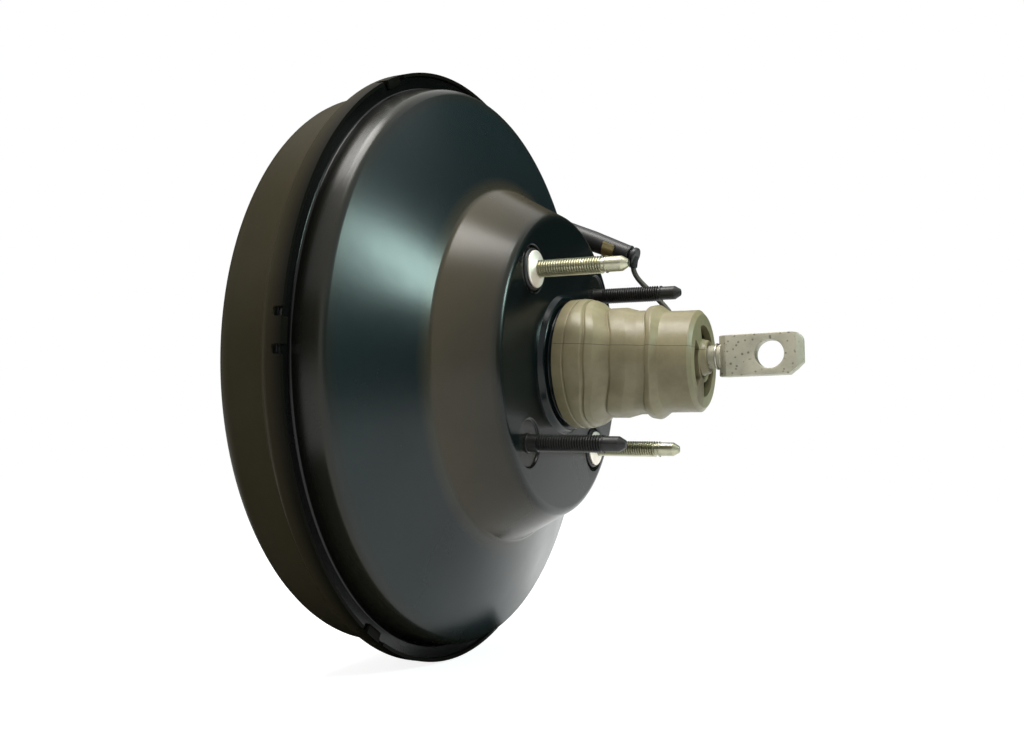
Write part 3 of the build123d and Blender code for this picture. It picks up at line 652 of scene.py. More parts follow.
FINISHES: dict[Slot, Finish] = {
    Slot.FRONT_PAINT: PressedPaint(
        "front_paint", (1.0, 1.0, 1.0), (0.75, 0.72, 0.62), roughness=(0.36, 0.5), specular=0.03,
        mottle_scale=20.0, contrast=1.5, grain_scale=260.0, grain=0.02, speck=(0.13, 0.12, 0.1),
        speck_scale=330.0, speck_amount=0.02,
        # Bands along the axis: the drum's olive paint tone, lighter towards the rim step, then near black at the crimp
        # where the shells meet, which is painted shade.
        tone_and_painted_light_zones=((-127.0, (0.030, 0.027, 0.020)), (-98.0, (0.034, 0.030, 0.018)), (-72.0, (0.040, 0.035, 0.020)),
               (-66.0, (0.026, 0.023, 0.014)), (-60.0, (0.006, 0.006, 0.005))),
    ),
    Slot.REAR_PAINT: PressedPaint(
        "rear_paint", (1.0, 1.0, 1.0), (0.65, 0.66, 0.66), roughness=(0.2, 0.3), specular=0.24,
        mottle_scale=24.0, contrast=1.4, grain_scale=220.0, grain=0.012, speck=(0.12, 0.11, 0.09),
        speck_scale=300.0, speck_amount=0.015,
        # Bands along the axis over the black paint: the teal on the cone and the brown on the shoulder and the hub's
        # side are painted reflection; the flange and the face keep the near-black paint.
        tone_and_painted_light_zones=((-62.0, (0.003, 0.0035, 0.003)), (-49.0, (0.020, 0.019, 0.013)), (-45.0, (0.010, 0.019, 0.021)),
               (-31.0, (0.010, 0.016, 0.018)), (-27.0, (0.062, 0.050, 0.030)), (-6.0, (0.040, 0.034, 0.022)),
               (-1.5, (0.002, 0.006, 0.007))),
    ),
    Slot.ZINC: Finish(
        "zinc_plate", (0.50, 0.48, 0.35), (0.30, 0.30, 0.22), roughness=(0.28, 0.45), metallic=1.0,
        mottle_scale=120.0, speck=(0.10, 0.07, 0.04), speck_scale=700.0, speck_amount=0.1, grain=0.01,
    ),
    Slot.BLACK_OXIDE: Finish(
        "black_oxide", (0.010, 0.010, 0.010), (0.022, 0.021, 0.019), roughness=(0.3, 0.48), metallic=0.0,
        specular=0.3, mottle_scale=150.0, speck=(0.12, 0.11, 0.1), speck_scale=800.0, speck_amount=0.1,
        grain=0.01,
    ),
    Slot.STEEL: Finish(
        "bare_steel", (0.42, 0.40, 0.34), (0.28, 0.27, 0.22), roughness=(0.3, 0.45), metallic=1.0,
        mottle_scale=90.0, grain=0.01,
    ),
    Slot.FORGED: Finish(
        "forged_steel", (0.50, 0.475, 0.37), (0.35, 0.33, 0.255), roughness=(0.42, 0.6), metallic=0.3,
        mottle_scale=130.0, contrast=2.0, speck=(0.045, 0.022, 0.012), speck_scale=420.0, speck_amount=0.3,
        grain_scale=1400.0, grain=0.05,
    ),
    Slot.BOOT: MouldedRubber(
        "boot_rubber", (0.285, 0.250, 0.145), (0.190, 0.160, 0.090), roughness=(0.30, 0.46), specular=0.35,
        mottle_scale=70.0, contrast=2.2, speck=(0.06, 0.05, 0.03), speck_scale=380.0, speck_amount=0.1,
        grain_scale=1500.0, grain=0.04,
    ),
    Slot.RUBBER: Finish(
        "black_rubber", (0.010, 0.010, 0.011), (0.022, 0.022, 0.022), roughness=(0.35, 0.5), specular=0.35,
        mottle_scale=80.0, grain_scale=1200.0, grain=0.02,
    ),
    Slot.PHENOLIC: Finish("phenolic", (0.045, 0.026, 0.016), (0.03, 0.018, 0.012), roughness=(0.4, 0.55)),
    Slot.NYLON: Finish("nylon", (0.02, 0.02, 0.022), (0.03, 0.03, 0.032), roughness=(0.35, 0.5)),
    Slot.FELT: Finish(
        "felt", (0.09, 0.09, 0.085), (0.05, 0.05, 0.048), roughness=(0.85, 0.98), grain_scale=2500.0, grain=0.2,
    ),
    Slot.BRASS: Finish(
        "brass", (0.62, 0.52, 0.27), (0.45, 0.38, 0.2), roughness=(0.25, 0.4), metallic=1.0, mottle_scale=200.0,
    ),
    Slot.LEAD: Finish(
        "lead_cover", (0.03, 0.03, 0.024), (0.06, 0.058, 0.045), roughness=(0.4, 0.55), specular=0.3,
        mottle_scale=160.0,
    ),
}
# Brighter copy of the zinc finish for the collars: its near-white colour is painted sheen, standing in for the bright
# reflection on the collars' domes.
COLLAR_ZINC_PAINTED_SHEEN = Finish(
    "collar_zinc_painted_sheen", (1.0, 0.92, 0.82), (0.92, 0.84, 0.74), roughness=(0.4, 0.5), metallic=0.6,
    mottle_scale=150.0, speck=(0.25, 0.2, 0.13), speck_scale=600.0, speck_amount=0.05, grain=0.01,
)


def dress(piece: Piece, slot: Slot, body: Body, nodes: Iterable[str] = (),
          finish: Optional[Finish] = None, bend: Optional[tuple[Body, Place, Place]] = None) -> None:
    """Give a finished piece its slot's finish, hang it on its body and hide the CAD nodes it replaces.

    Args:
        piece: The piece.
        slot: The record's slot whose finish it takes.
        body: The body that carries it.
        nodes: CAD nodes that it replaces.
        finish: A finish other than the slot's own.
        bend: For a piece meant to bend between two bodies, the second body and the points in metres where the bend
            would start and end. Only whether it is given is read: such a piece keeps its place in its mesh and hangs
            on no body; the second body and the points are not used.
    """
    piece.data.materials.clear()
    piece.data.materials.append((finish or FINISHES[slot]).material())
    if bend:
        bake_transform(piece)
    else:
        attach(piece, body.value)
    if nodes:
        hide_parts(*nodes)
    log.info("%s rides on %s", piece.name, body.value)


# ---------------------------------------------------------------- shapes shared by pieces


def beside(points: Sequence[Point], depth: float) -> list[Point]:
    """Step every point of an open outline sideways.

    Args:
        points: (x, radius) points in millimetres.
        depth: How far to step, to the left of the way the outline runs.

    Returns:
        The stepped outline.
    """
    moved: list[Point] = []
    last = len(points) - 1
    for i, (x, r) in enumerate(points):
        before, after = points[max(i - 1, 0)], points[min(i + 1, last)]
        run = (Vector(after) - Vector(before)).normalized()
        moved.append((x - run.y * depth, r + run.x * depth))
    return moved


def sheet_section(corners: Sequence[Corner], gauge: float) -> list[Point]:
    """Close (x, radius, bend) corners into a sheet's section, with its gauge to the left of their run."""
    face = rounded(corners)
    return face + beside(face, gauge)[::-1]


def ring(x0: float, x1: float, outer: float, inner: float, edge: float = 0.3) -> list[Point]:
    """Section of a ring from x0 to x1 between two radii, with rounded outer edges, in millimetres."""
    return rounded([(x0, inner, 0), (x0, outer, edge), (x1, outer, edge), (x1, inner, 0)], step_deg=22.5)


def turned_at(name: str, points: Sequence[Point], places: Sequence[Place], direction: Vector = AXIS,
              closed: bool = True, steps: int = 48, crease_deg: float = 35.0) -> Piece:
    """Turn one outline, copy it to each place and join the copies.

    Args:
        name: The piece's name.
        points: The outline in millimetres.
        places: Where each copy's zero goes, in millimetres.
        direction: The way every copy's axis points.
        closed: Whether the outline is a closed ring section.
        steps: How many faces go round.
        crease_deg: The angle past which an edge stays sharp.

    Returns:
        The joined piece.
    """
    made = copies(lathe(name, points, closed, steps), len(places))
    for piece, origin in zip(made, places):
        place(piece, origin, direction)
    whole = join(name, made)
    smooth(whole, crease_deg)
    return whole


# ---------------------------------------------------------------- housing shells


@dataclass
class Housing:
    """Front and rear shells, their crimp tabs and the pressed pockets round the studs.

    Attributes:
        sheet: Gauge of the shells.
        front_corners: (x, radius, bend) of the front shell's outside.
        rear_corners: The same of the rear shell.
        rim_r: Radius of the crimped rim, which ends at rim_x.
        tab_count: How many tabs hold the rim closed.
        tab_reach: How far a tab folds inwards.
        notch: Width and depth of the gap beside a tab.
        hub_x: Plane of the hub's face.
        pocket_lip: Width of the ring that a pocket's wall takes out of the face.
        pocket_cutter: Where its cutter starts and ends, from the face.
        pockets: (y, z, depth) of the round pressings in the hub.
    """

    sheet: float = 1.6
    front_corners: tuple[Corner, ...] = (
        (-110.6, 9.0, 0), (-110.6, 22.0, 1.7), (-126.0, 22.0, 3.3), (-126.0, 60.0, 6.8), (-112.2, 72.0, 5.2),
        (-100.7, 139.8, 9.8), (-75.4, 139.8, 2.2), (-68.9, 147.4, 3.8), (-60.3, 147.4, 0),
    )
    rear_corners: tuple[Corner, ...] = (
        (14.6, 25.4, 0), (14.6, 28.8, 2.2), (1.1, 28.8, 0.5), (1.1, 32.6, 1.7), (-1.8, 34.2, 0.5),
        (-1.8, 72.5, 4.8), (-28.2, 87.2, 4.2), (-48.3, 137.8, 5.3), (-61.9, 139.4, 1.2), (-61.9, 145.5, 0),
    )
    rim_r: float = 147.4
    rim_x: float = -60.3
    tab_count: int = 6
    tab_width: float = 11.0
    tab_reach: float = 4.6
    notch: Point = (4.0, 4.5)
    hub_x: float = -1.8
    pocket_r: float = 11.2
    pocket_lip: float = 1.3
    pocket_bore: float = 4.6
    pocket_cutter: Point = (-9.0, 3.0)
    pockets: tuple[Place, ...] = (
        (-40.0, 40.0, 3.0), (40.0, -40.0, 3.0), (-40.0, -40.0, 1.0), (40.0, 40.0, 1.0),
    )

    def build(self) -> None:
        """Build and dress both shells."""
        self.front_shell()
        self.rear_shell()

    def front_shell(self) -> None:
        """Front shell, notched beside each tab, with the tabs folded over the flange."""
        shell = lathe("front_shell_skin", sheet_section(self.front_corners, -self.sheet), steps=240)
        width, depth = self.notch
        side = (self.tab_width + width) / 2
        for i in range(self.tab_count):
            for shift in (-side, side):
                slot = block("notch", (self.rim_x - depth, self.rim_r - 3 * self.sheet, shift - width / 2),
                             (self.rim_x + depth, self.rim_r + 2 * self.sheet, shift + width / 2))
                chamfered(slot, width / 4)
                turn_about_axis(slot, i * 360 / self.tab_count)
                cut(shell, slot)
        tabs = copies(self.tab(), self.tab_count)
        for i, tab in enumerate(tabs):
            turn_about_axis(tab, i * 360 / self.tab_count)
        whole = join("front_shell_skin", [shell, *tabs])
        smooth(whole, 30)
        dress(whole, Slot.FRONT_PAINT, Body.HOUSING, ["front_shell"])

    def tab(self) -> Piece:
        """One tab at +Y, folded from the rim down onto the flange.

        Returns:
            The tab.
        """
        top = math.sqrt(self.rim_r ** 2 - (self.tab_width / 2) ** 2)
        tab = block("crimp_tab", (self.rim_x - self.sheet, top - self.tab_reach, -self.tab_width / 2),
                    (self.rim_x, top, self.tab_width / 2))
        chamfered(tab, self.sheet * 0.45)
        return tab

    def rear_shell(self) -> None:
        """Rear shell with a rounded pressing under each stud."""
        shell = lathe("rear_shell_skin", sheet_section(self.rear_corners, self.sheet), steps=240)
        rim = self.pocket_r + self.pocket_lip
        low, high = self.pocket_cutter
        cups = []
        for y, z, depth in self.pockets:
            hole = ring(self.hub_x + low, self.hub_x + high, rim, 0.0)
            cut(shell, turned_at("hole", hole, [(0, y, z)], closed=False))
            floor = self.hub_x - depth
            corners = [(self.hub_x, rim, 0), (self.hub_x, self.pocket_r, min(1.0, depth / 2)),
                       (floor, self.pocket_r - depth / 8, min(0.9, depth / 2)), (floor, self.pocket_bore, 0)]
            cups.append(turned_at("cup", sheet_section(corners, -self.sheet * 0.9), [(0, y, z)], steps=72))
        whole = join("rear_shell_skin", [shell, *cups])
        smooth(whole, 30)
        dress(whole, Slot.REAR_PAINT, Body.HOUSING, ["rear_shell"])


# ---------------------------------------------------------------- studs


@dataclass
class Stud:
    """A threaded stud with a plain neck, a dog and a lead-in cone, standing on a seat.

    Attributes:
        name: The piece's name.
        slot: Its finish.
        places: (y, z) of each copy.
        node: The CAD node that it replaces.
        start: Where the visible shank starts.
        thread: Start and end of the thread.
        end: The stud's length beyond the seat.
        depth: Height of the thread's tooth.
        runout: Length over which the shank narrows to the thread's root.
        tooth: Where its flanks meet the crest and the root, as shares of the pitch.
        dog: Length of the dog, before the tip.
        head_x: Where the head starts.
        shank_r: Radius of the plain shank in the shell.
    """

    name: str
    slot: Slot
    places: tuple[Point, ...]
    node: str
    start: float
    thread: Point
    end: float = 44.2
    radius: float = 4.0
    pitch: float = 1.25
    depth: float = 0.9
    dog: float = 7.4
    dog_r: float = 3.45
    tip: float = 3.0
    tip_r: float = 1.7
    head_x: float = -9.6
    head_r: float = 9.0
    head: float = 3.2
    shank_r: float = 4.5
    runout: float = 0.5
    tooth: tuple[float, float, float] = (0.36, 0.50, 0.86)

    def core(self) -> list[Point]:
        """Outline of the stud under its thread.

        Returns:
            The open outline, from head to tip.
        """
        root = self.radius - self.depth + 0.05
        t0, t1 = self.thread
        seat = self.head_x + self.head
        dog_x = self.end - self.tip - self.dog
        return rounded([
            (self.head_x, 0, 0), (self.head_x, self.head_r, 0.6), (seat, self.head_r, 0.6),
            (seat, self.shank_r, 0), (self.start, self.shank_r, 0), (self.start, self.radius, 0.2),
            (t0, self.radius, 0), (t0 + self.runout, root, 0), (t1 - self.runout, root, 0),
            (t1, self.radius - 0.1, 0), (dog_x, self.radius - 0.1, 0.2), (dog_x + 0.4, self.dog_r, 0.1),
            (self.end - self.tip, self.dog_r, 0.3), (self.end, self.tip_r, 0.4), (self.end, 0, 0),
        ], step_deg=22.5)

    def screw_thread(self) -> Piece:
        """The helical thread, a tooth swept round and along.

        Returns:
            The thread, on the X axis.
        """
        root = self.radius - self.depth
        t0, t1 = self.thread
        rise, crest, fall = (t0 + share * self.pitch for share in self.tooth)
        tooth = [(t0, root), (rise, self.radius), (crest, self.radius), (fall, root), (t0 + self.pitch, root)]
        piece = profile("thread", tooth, closed=False)
        bpy.ops.object.mode_set(mode="OBJECT")
        wind = piece.modifiers.new("wind", "SCREW")
        wind.axis = "X"
        wind.screw_offset = self.pitch * MM
        wind.iterations = int((t1 - t0) / self.pitch) - 1
        wind.steps = 36
        wind.render_steps = 36
        wind.use_merge_vertices = True
        wind.merge_threshold = SEAM_WELD
        wind.use_normal_calculate = True
        apply_modifiers(piece)
        return piece

    def build(self) -> None:
        """Build the studs and dress them."""
        one = join(self.name, [lathe(self.name, self.core(), closed=False, steps=48), self.screw_thread()])
        made = copies(one, len(self.places))
        for piece, (y, z) in zip(made, self.places):
            place(piece, (0, y, z))
        whole = join(self.name, made)
        smooth(whole, 40)
        dress(whole, self.slot, Body.HOUSING, [self.node])


@dataclass
class StudFittings:
    """Collars and seal rings of the plated studs.

    Attributes:
        places: Where each stud stands.
        collar: (x, radius, bend) of a collar's section.
        seal: The same of a seal ring's.
    """

    places: tuple[Place, ...] = ((0, -40.0, 40.0), (0, 40.0, -40.0))
    collar: tuple[Corner, ...] = (
        (-1.3, 3.8, 0), (-1.3, 8.7, 0.4), (-0.3, 8.7, 0.3), (0.0, 8.2, 0.3), (0.9, 5.0, 0.5), (1.2, 4.3, 0.2),
        (1.2, 3.8, 0),
    )
    seal: tuple[Corner, ...] = ((-4.8, 4.6, 0), (-4.8, 9.9, 0.6), (-1.3, 9.9, 1.0), (-1.3, 4.6, 0))

    def build(self) -> None:
        """Build and dress both kinds."""
        piece = turned_at("stud_collar_rings", rounded(self.collar, 15), self.places, steps=72)
        # The collars take the brighter zinc copy, whose near-white colour is painted sheen.
        dress(piece, Slot.ZINC, Body.HOUSING, ["stud_collars"], COLLAR_ZINC_PAINTED_SHEEN)
        piece = turned_at("stud_seal_collars", rounded(self.seal, 15), self.places, steps=72)
        dress(piece, Slot.RUBBER, Body.HOUSING, ["stud_seal_rings"])


# ---------------------------------------------------------------- boot


@dataclass
class Boot:
    """Rubber bellows between the neck and the valve body's tail, with a vented end.

    Attributes:
        folds: (x, radius, bend) of the bellows' outside.
        sag: How far the rubber has crept towards the pedal on the camera's side, in the folds of sag_span.
        sag_side: How squarely a point has to face that side to be dragged along, 1 for straight.
        sag_reach: How far the creep spreads round it.
        grips: The boot stays in place in front of the first and behind the second.
        windows: How many vents the end wall has, over the radii of window_r.
        collar_root_r: Radius of the collar's foot in the end wall.
    """

    folds: tuple[Corner, ...] = (
        (3.4, 30.2, 0), (3.8, 31.2, 0.5), (8.8, 31.4, 0.5), (9.3, 30.7, 0.2), (9.9, 31.5, 0.4), (13.2, 31.1, 0.8),
        (13.9, 29.8, 0.2), (14.8, 30.6, 0.5), (17.4, 29.6, 1.4), (22.8, 25.2, 0.3), (24.0, 26.3, 0.5),
        (31.0, 26.3, 2.4), (36.8, 24.7, 4.0), (42.2, 24.5, 0.3), (43.6, 26.5, 0.8), (47.0, 27.0, 1.6),
        (51.2, 23.9, 0.4), (53.0, 23.8, 0.4), (60.0, 23.7, 0),
    )
    sag: float = 7.0
    sag_span: Point = (21.0, 33.0)
    sag_side: float = 0.96
    sag_reach: float = 26.0
    grips: Point = (10.1, 55.6)
    wall: float = 2.2
    end_x: float = 67.6
    end_wall: float = 3.2
    neck_r: float = 28.8
    neck_x: float = 14.9
    tail_r: float = 20.3
    tail_x: float = 55.3
    grip_x: float = 48.0
    windows: int = 3
    window_r: Point = (9.8, 16.6)
    window_start: float = -7.0
    window_turn: float = 84.0
    window_round: float = 1.2
    collar_root_r: float = 8.6
    collar_r: float = 8.2
    collar: float = 6.0
    rod_r: float = 5.6
    bend_end: float = 57.6

    def section(self) -> list[Point]:
        """Closed section of the boot, from the neck lip round to the rod's collar."""
        rim, hole, inside = self.folds[-1][1], self.window_r[0] - 2, self.end_x - self.end_wall
        end = rounded([(self.end_x - 4, rim, 0), (self.end_x - 1.7, rim, 0.4), (self.end_x, rim - 2.0, 0.7),
                       (self.end_x, hole, 0.6), (inside, hole, 0)])
        inner = [(inside, self.tail_r), (self.tail_x, self.tail_r), (self.grip_x + self.wall, self.tail_r)]
        fold_inside = [(x, r - self.wall) for x, r, _ in self.folds[::-1] if self.neck_x + 3 < x < self.grip_x]
        neck = [(self.neck_x, self.neck_r - self.wall), (self.neck_x, self.neck_r), (self.folds[0][0], self.neck_r)]
        return rounded(self.folds) + end + inner + fold_inside + neck

    def window_tool(self, start: float) -> Piece:
        """A kidney-shaped cutter for one vent.

        Args:
            start: Where the vent starts, in degrees from +Y towards +Z.

        Returns:
            The cutter.
        """
        r0, r1 = self.window_r
        x0, x1 = self.end_x - 2 * self.end_wall, self.end_x + self.end_wall
        tool = panel("window", [(x0, r0), (x1, r0), (x1, r1), (x0, r1)])
        spin(14, self.window_turn)
        face_outwards()
        chamfered(tool, self.window_round)
        turn_about_axis(tool, start - 90)
        return tool

    def select_where(self, boot: Piece, inside: Callable[[Vector], bool]) -> None:
        """Select the vertices that a test picks, and enter edit mode.

        Args:
            boot: The boot's mesh.
            inside: Tells from a vertex's place, in millimetres, whether it is picked.
        """
        bpy.ops.object.mode_set(mode="EDIT")
        bpy.ops.mesh.select_all(action="DESELECT")
        bpy.ops.object.mode_set(mode="OBJECT")
        for vertex in boot.data.vertices:
            vertex.select = inside(vertex.co / MM)
        bpy.ops.object.mode_set(mode="EDIT")

    def sagged(self, boot: Piece) -> None:
        """Let the folds creep on the camera's side, while both grips stay in place.

        Args:
            boot: The turned boot.
        """
        pick(boot)
        start, end = self.sag_span
        self.select_where(boot, lambda at: at.x < self.grips[0] or at.x > self.grips[1])
        bpy.ops.mesh.hide(unselected=False)
        self.select_where(boot, lambda at: start < at.x < end and at.y < -self.sag_side * math.hypot(at.y, at.z))
        bpy.ops.transform.translate(value=(self.sag * MM, 0, 0), use_proportional_edit=True,
                                    proportional_edit_falloff="SMOOTH", proportional_size=self.sag_reach * MM)
        bpy.ops.mesh.reveal(select=False)
        bpy.ops.object.mode_set(mode="OBJECT")

    def build(self) -> None:
        """Build the boot with its collar, and dress it."""
        boot = lathe("boot_bellows", self.section(), steps=192)
        self.sagged(boot)
        for i in range(self.windows):
            cut(boot, self.window_tool(self.window_start + i * 360 / self.windows))
        front = self.end_x - self.end_wall - BALL_X
        face, rear = front + self.end_wall, front + self.collar
        collar = turned_at("boot_collar", rounded([
            (front, self.rod_r, 0), (front, self.collar_root_r, 0), (face, self.collar_root_r, 0.8),
            (face + 0.6, self.collar_r, 0.6), (rear, self.collar_r - 0.6, 0.9), (rear, self.rod_r, 0),
        ]), [(BALL_X, 0, 0)], heading(ROD_LIFT), steps=64)
        whole = join("boot_bellows", [boot, collar])
        smooth(whole, 38)
        dress(whole, Slot.BOOT, Body.HOUSING, ["boot"],
              bend=(Body.PISTON, (self.folds[0][0] * MM, 0, 0), (self.bend_end * MM, 0, 0)))


# ---------------------------------------------------------------- moving wall and springs


@dataclass
class MovingWall:
    """Rubber of the moving wall, whose edge spans from the piston to the clamped rim.

    Attributes:
        hub: (x, radius, bend) of the rubber's face on the plate, out to the bending edge.
        edge: The same of the bending edge.
        bead: Section of the clamped bead, (x0, x1, outer, inner).
        sectors: How many pieces the edge is made of, each with its own radius for a bend; nothing here bends them.
        bend_r: Radii where the bend would start and end; handed to dress, which does not use them.
    """

    hub: tuple[Corner, ...] = (
        (-30.8, 26.0, 0), (-30.8, 65.0, 3.0), (-38.0, 76.0, 3.0), (-52.40, 117.22, 0),
    )
    edge: tuple[Corner, ...] = (
        (-52.40, 117.22, 0), (-54.0, 121.8, 3.0), (-62.0, 121.8, 3.0), (-62.5, 130.0, 3.0), (-66.0, 137.0, 0),
    )
    bead: tuple[float, float, float, float] = (-68.4, -63.8, 144.9, 135.2)
    gauge: float = 2.0
    sectors: int = 18
    bend_r: Point = (124.2, 134.0)

    def build(self) -> None:
        """Build the rubber on the plate and the sectors of its edge."""
        hub = lathe("diaphragm_hub", sheet_section(self.hub, -self.gauge), steps=144)
        smooth(hub)
        dress(hub, Slot.RUBBER, Body.PISTON, ["diaphragm"])
        start, end = self.bend_r
        span = 360 / self.sectors
        sections = (sheet_section(self.edge, -self.gauge), ring(*self.bead, edge=0.6))
        for i in range(self.sectors):
            piece = join("diaphragm_edge", [lathe("diaphragm_edge", section, steps=6, degrees=span)
                                            for section in sections])
            turn_about_axis(piece, i * span)
            smooth(piece)
            middle = sum((corner.co for corner in piece.data.vertices), Vector()) / len(piece.data.vertices)
            way = Vector((0, middle.y, middle.z)).normalized() * MM
            dress(piece, Slot.RUBBER, Body.PISTON, ["diaphragm"],
                  bend=(Body.HOUSING, tuple(way * start), tuple(way * end)))


def squash_springs(frame: dict) -> None:
    """Give each spring a mesh of its own; nothing here shortens them as their joints move.
    """
    for name, joint, stroke in (("return_spring", "power_piston_travel", 38.0),
                                ("input_return_spring", "input_plunger_travel", 1.6)):
        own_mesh(frame["nodes"][name])


# ---------------------------------------------------------------- pedal rod


@dataclass
class PedalRod:
    """Input rod on its lifted axis, with the flat forged eye at its end.

    Attributes:
        neck: Where the neck behind the ball widens into the rod.
        lock_ring: Section of the lock ring, (x0, x1, outer, inner).
        drill: Length of the cutter that makes the eye's hole.
        bevels: (run, depth) of the flat sides' bevels, at the rod and at the far end.
        lower_cut: Run and rise of the cut lower corner.
        upper_round: Radius of the upper corner.
    """

    ball_r: float = 6.4
    radius: float = 5.3
    neck_r: float = 4.0
    neck: float = 16.0
    lock_ring: tuple[float, float, float, float] = (75.6, 76.5, 6.2, 5.2)
    eye_start: float = 77.1
    eye_length: float = 37.9
    eye_height: float = 18.9
    eye_thick: float = 7.0
    hole_r: float = 6.5
    hole_x: float = 100.2
    drill: float = 30.0
    bevels: tuple[Point, Point] = ((3.4, 1.9), (2.8, 1.7))
    lower_cut: Point = (6.3, 5.0)
    upper_round: float = 4.5

    def build(self) -> None:
        """Build the rod, its ring and its eye, and dress them."""
        origin, way = [(BALL_X, 0, 0)], heading(ROD_LIFT)
        ball = [(self.ball_r * math.cos(math.radians(180 - a)), self.ball_r * math.sin(math.radians(180 - a)))
                for a in range(0, 141, 10)]
        rod = ball + rounded([
            (ball[-1][0], self.neck_r, 0), (self.neck, self.neck_r, 1.0), (self.neck + 1.3, self.radius, 1.0),
            (self.eye_start - 0.6, self.radius, 0), (self.eye_start + 1.2, self.radius + 0.6, 0.4),
            (self.eye_start + 2.0, 0, 0)])
        piece = turned_at("pedal_rod_bar", rod, origin, way, closed=False, steps=64)
        dress(piece, Slot.FORGED, Body.ROD, ["pedal_rod"])
        piece = turned_at("pedal_rod_ring", ring(*self.lock_ring), origin, way, steps=64)
        dress(piece, Slot.STEEL, Body.ROD, ["rod_lock_ring"])
        self.eye()

    def eye(self) -> None:
        """The flat eye: bevelled at both ends, with a cut lower corner and a round hole."""
        x0, x1 = self.eye_start, self.eye_start + self.eye_length
        half_h, half_t = self.eye_height / 2, self.eye_thick / 2
        (near, near_depth), (far, far_depth) = self.bevels
        run, rise = self.lower_cut
        sides = rounded([(x0 + near, half_h, 0), (x1, half_h, self.upper_round),
                         (x1, -half_h + rise, 0), (x1 - run, -half_h, 0), (x0, -half_h, 0), (x0, half_h, 0)])
        eye = prism("pedal_eye_forging", sides, 2 * half_t)
        plan = prism("plan", [(x0, near_depth - half_t), (x0 + near, -half_t), (x1 - far, -half_t),
                              (x1, far_depth - half_t), (x1, half_t - far_depth), (x1 - far, half_t),
                              (x0 + near, half_t), (x0, half_t - near_depth)], 2 * half_h)
        turn_about_axis(plan, 90)
        cut(eye, plan, "INTERSECT")
        deselect_everything()
        bpy.ops.mesh.primitive_cylinder_add(vertices=72, radius=self.hole_r * MM, depth=self.drill * MM,
                                            location=(self.hole_x * MM, 0, 0), rotation=(math.radians(90), 0, 0))
        bpy.ops.object.transform_apply()
        cut(eye, bpy.context.object)
        chamfered(eye, 0.45, 3)
        place(eye, (BALL_X, 0, 0), heading(ROD_LIFT))
        smooth(eye, 25)
        dress(eye, Slot.FORGED, Body.ROD, ["pedal_eye"])


# ---------------------------------------------------------------- lead


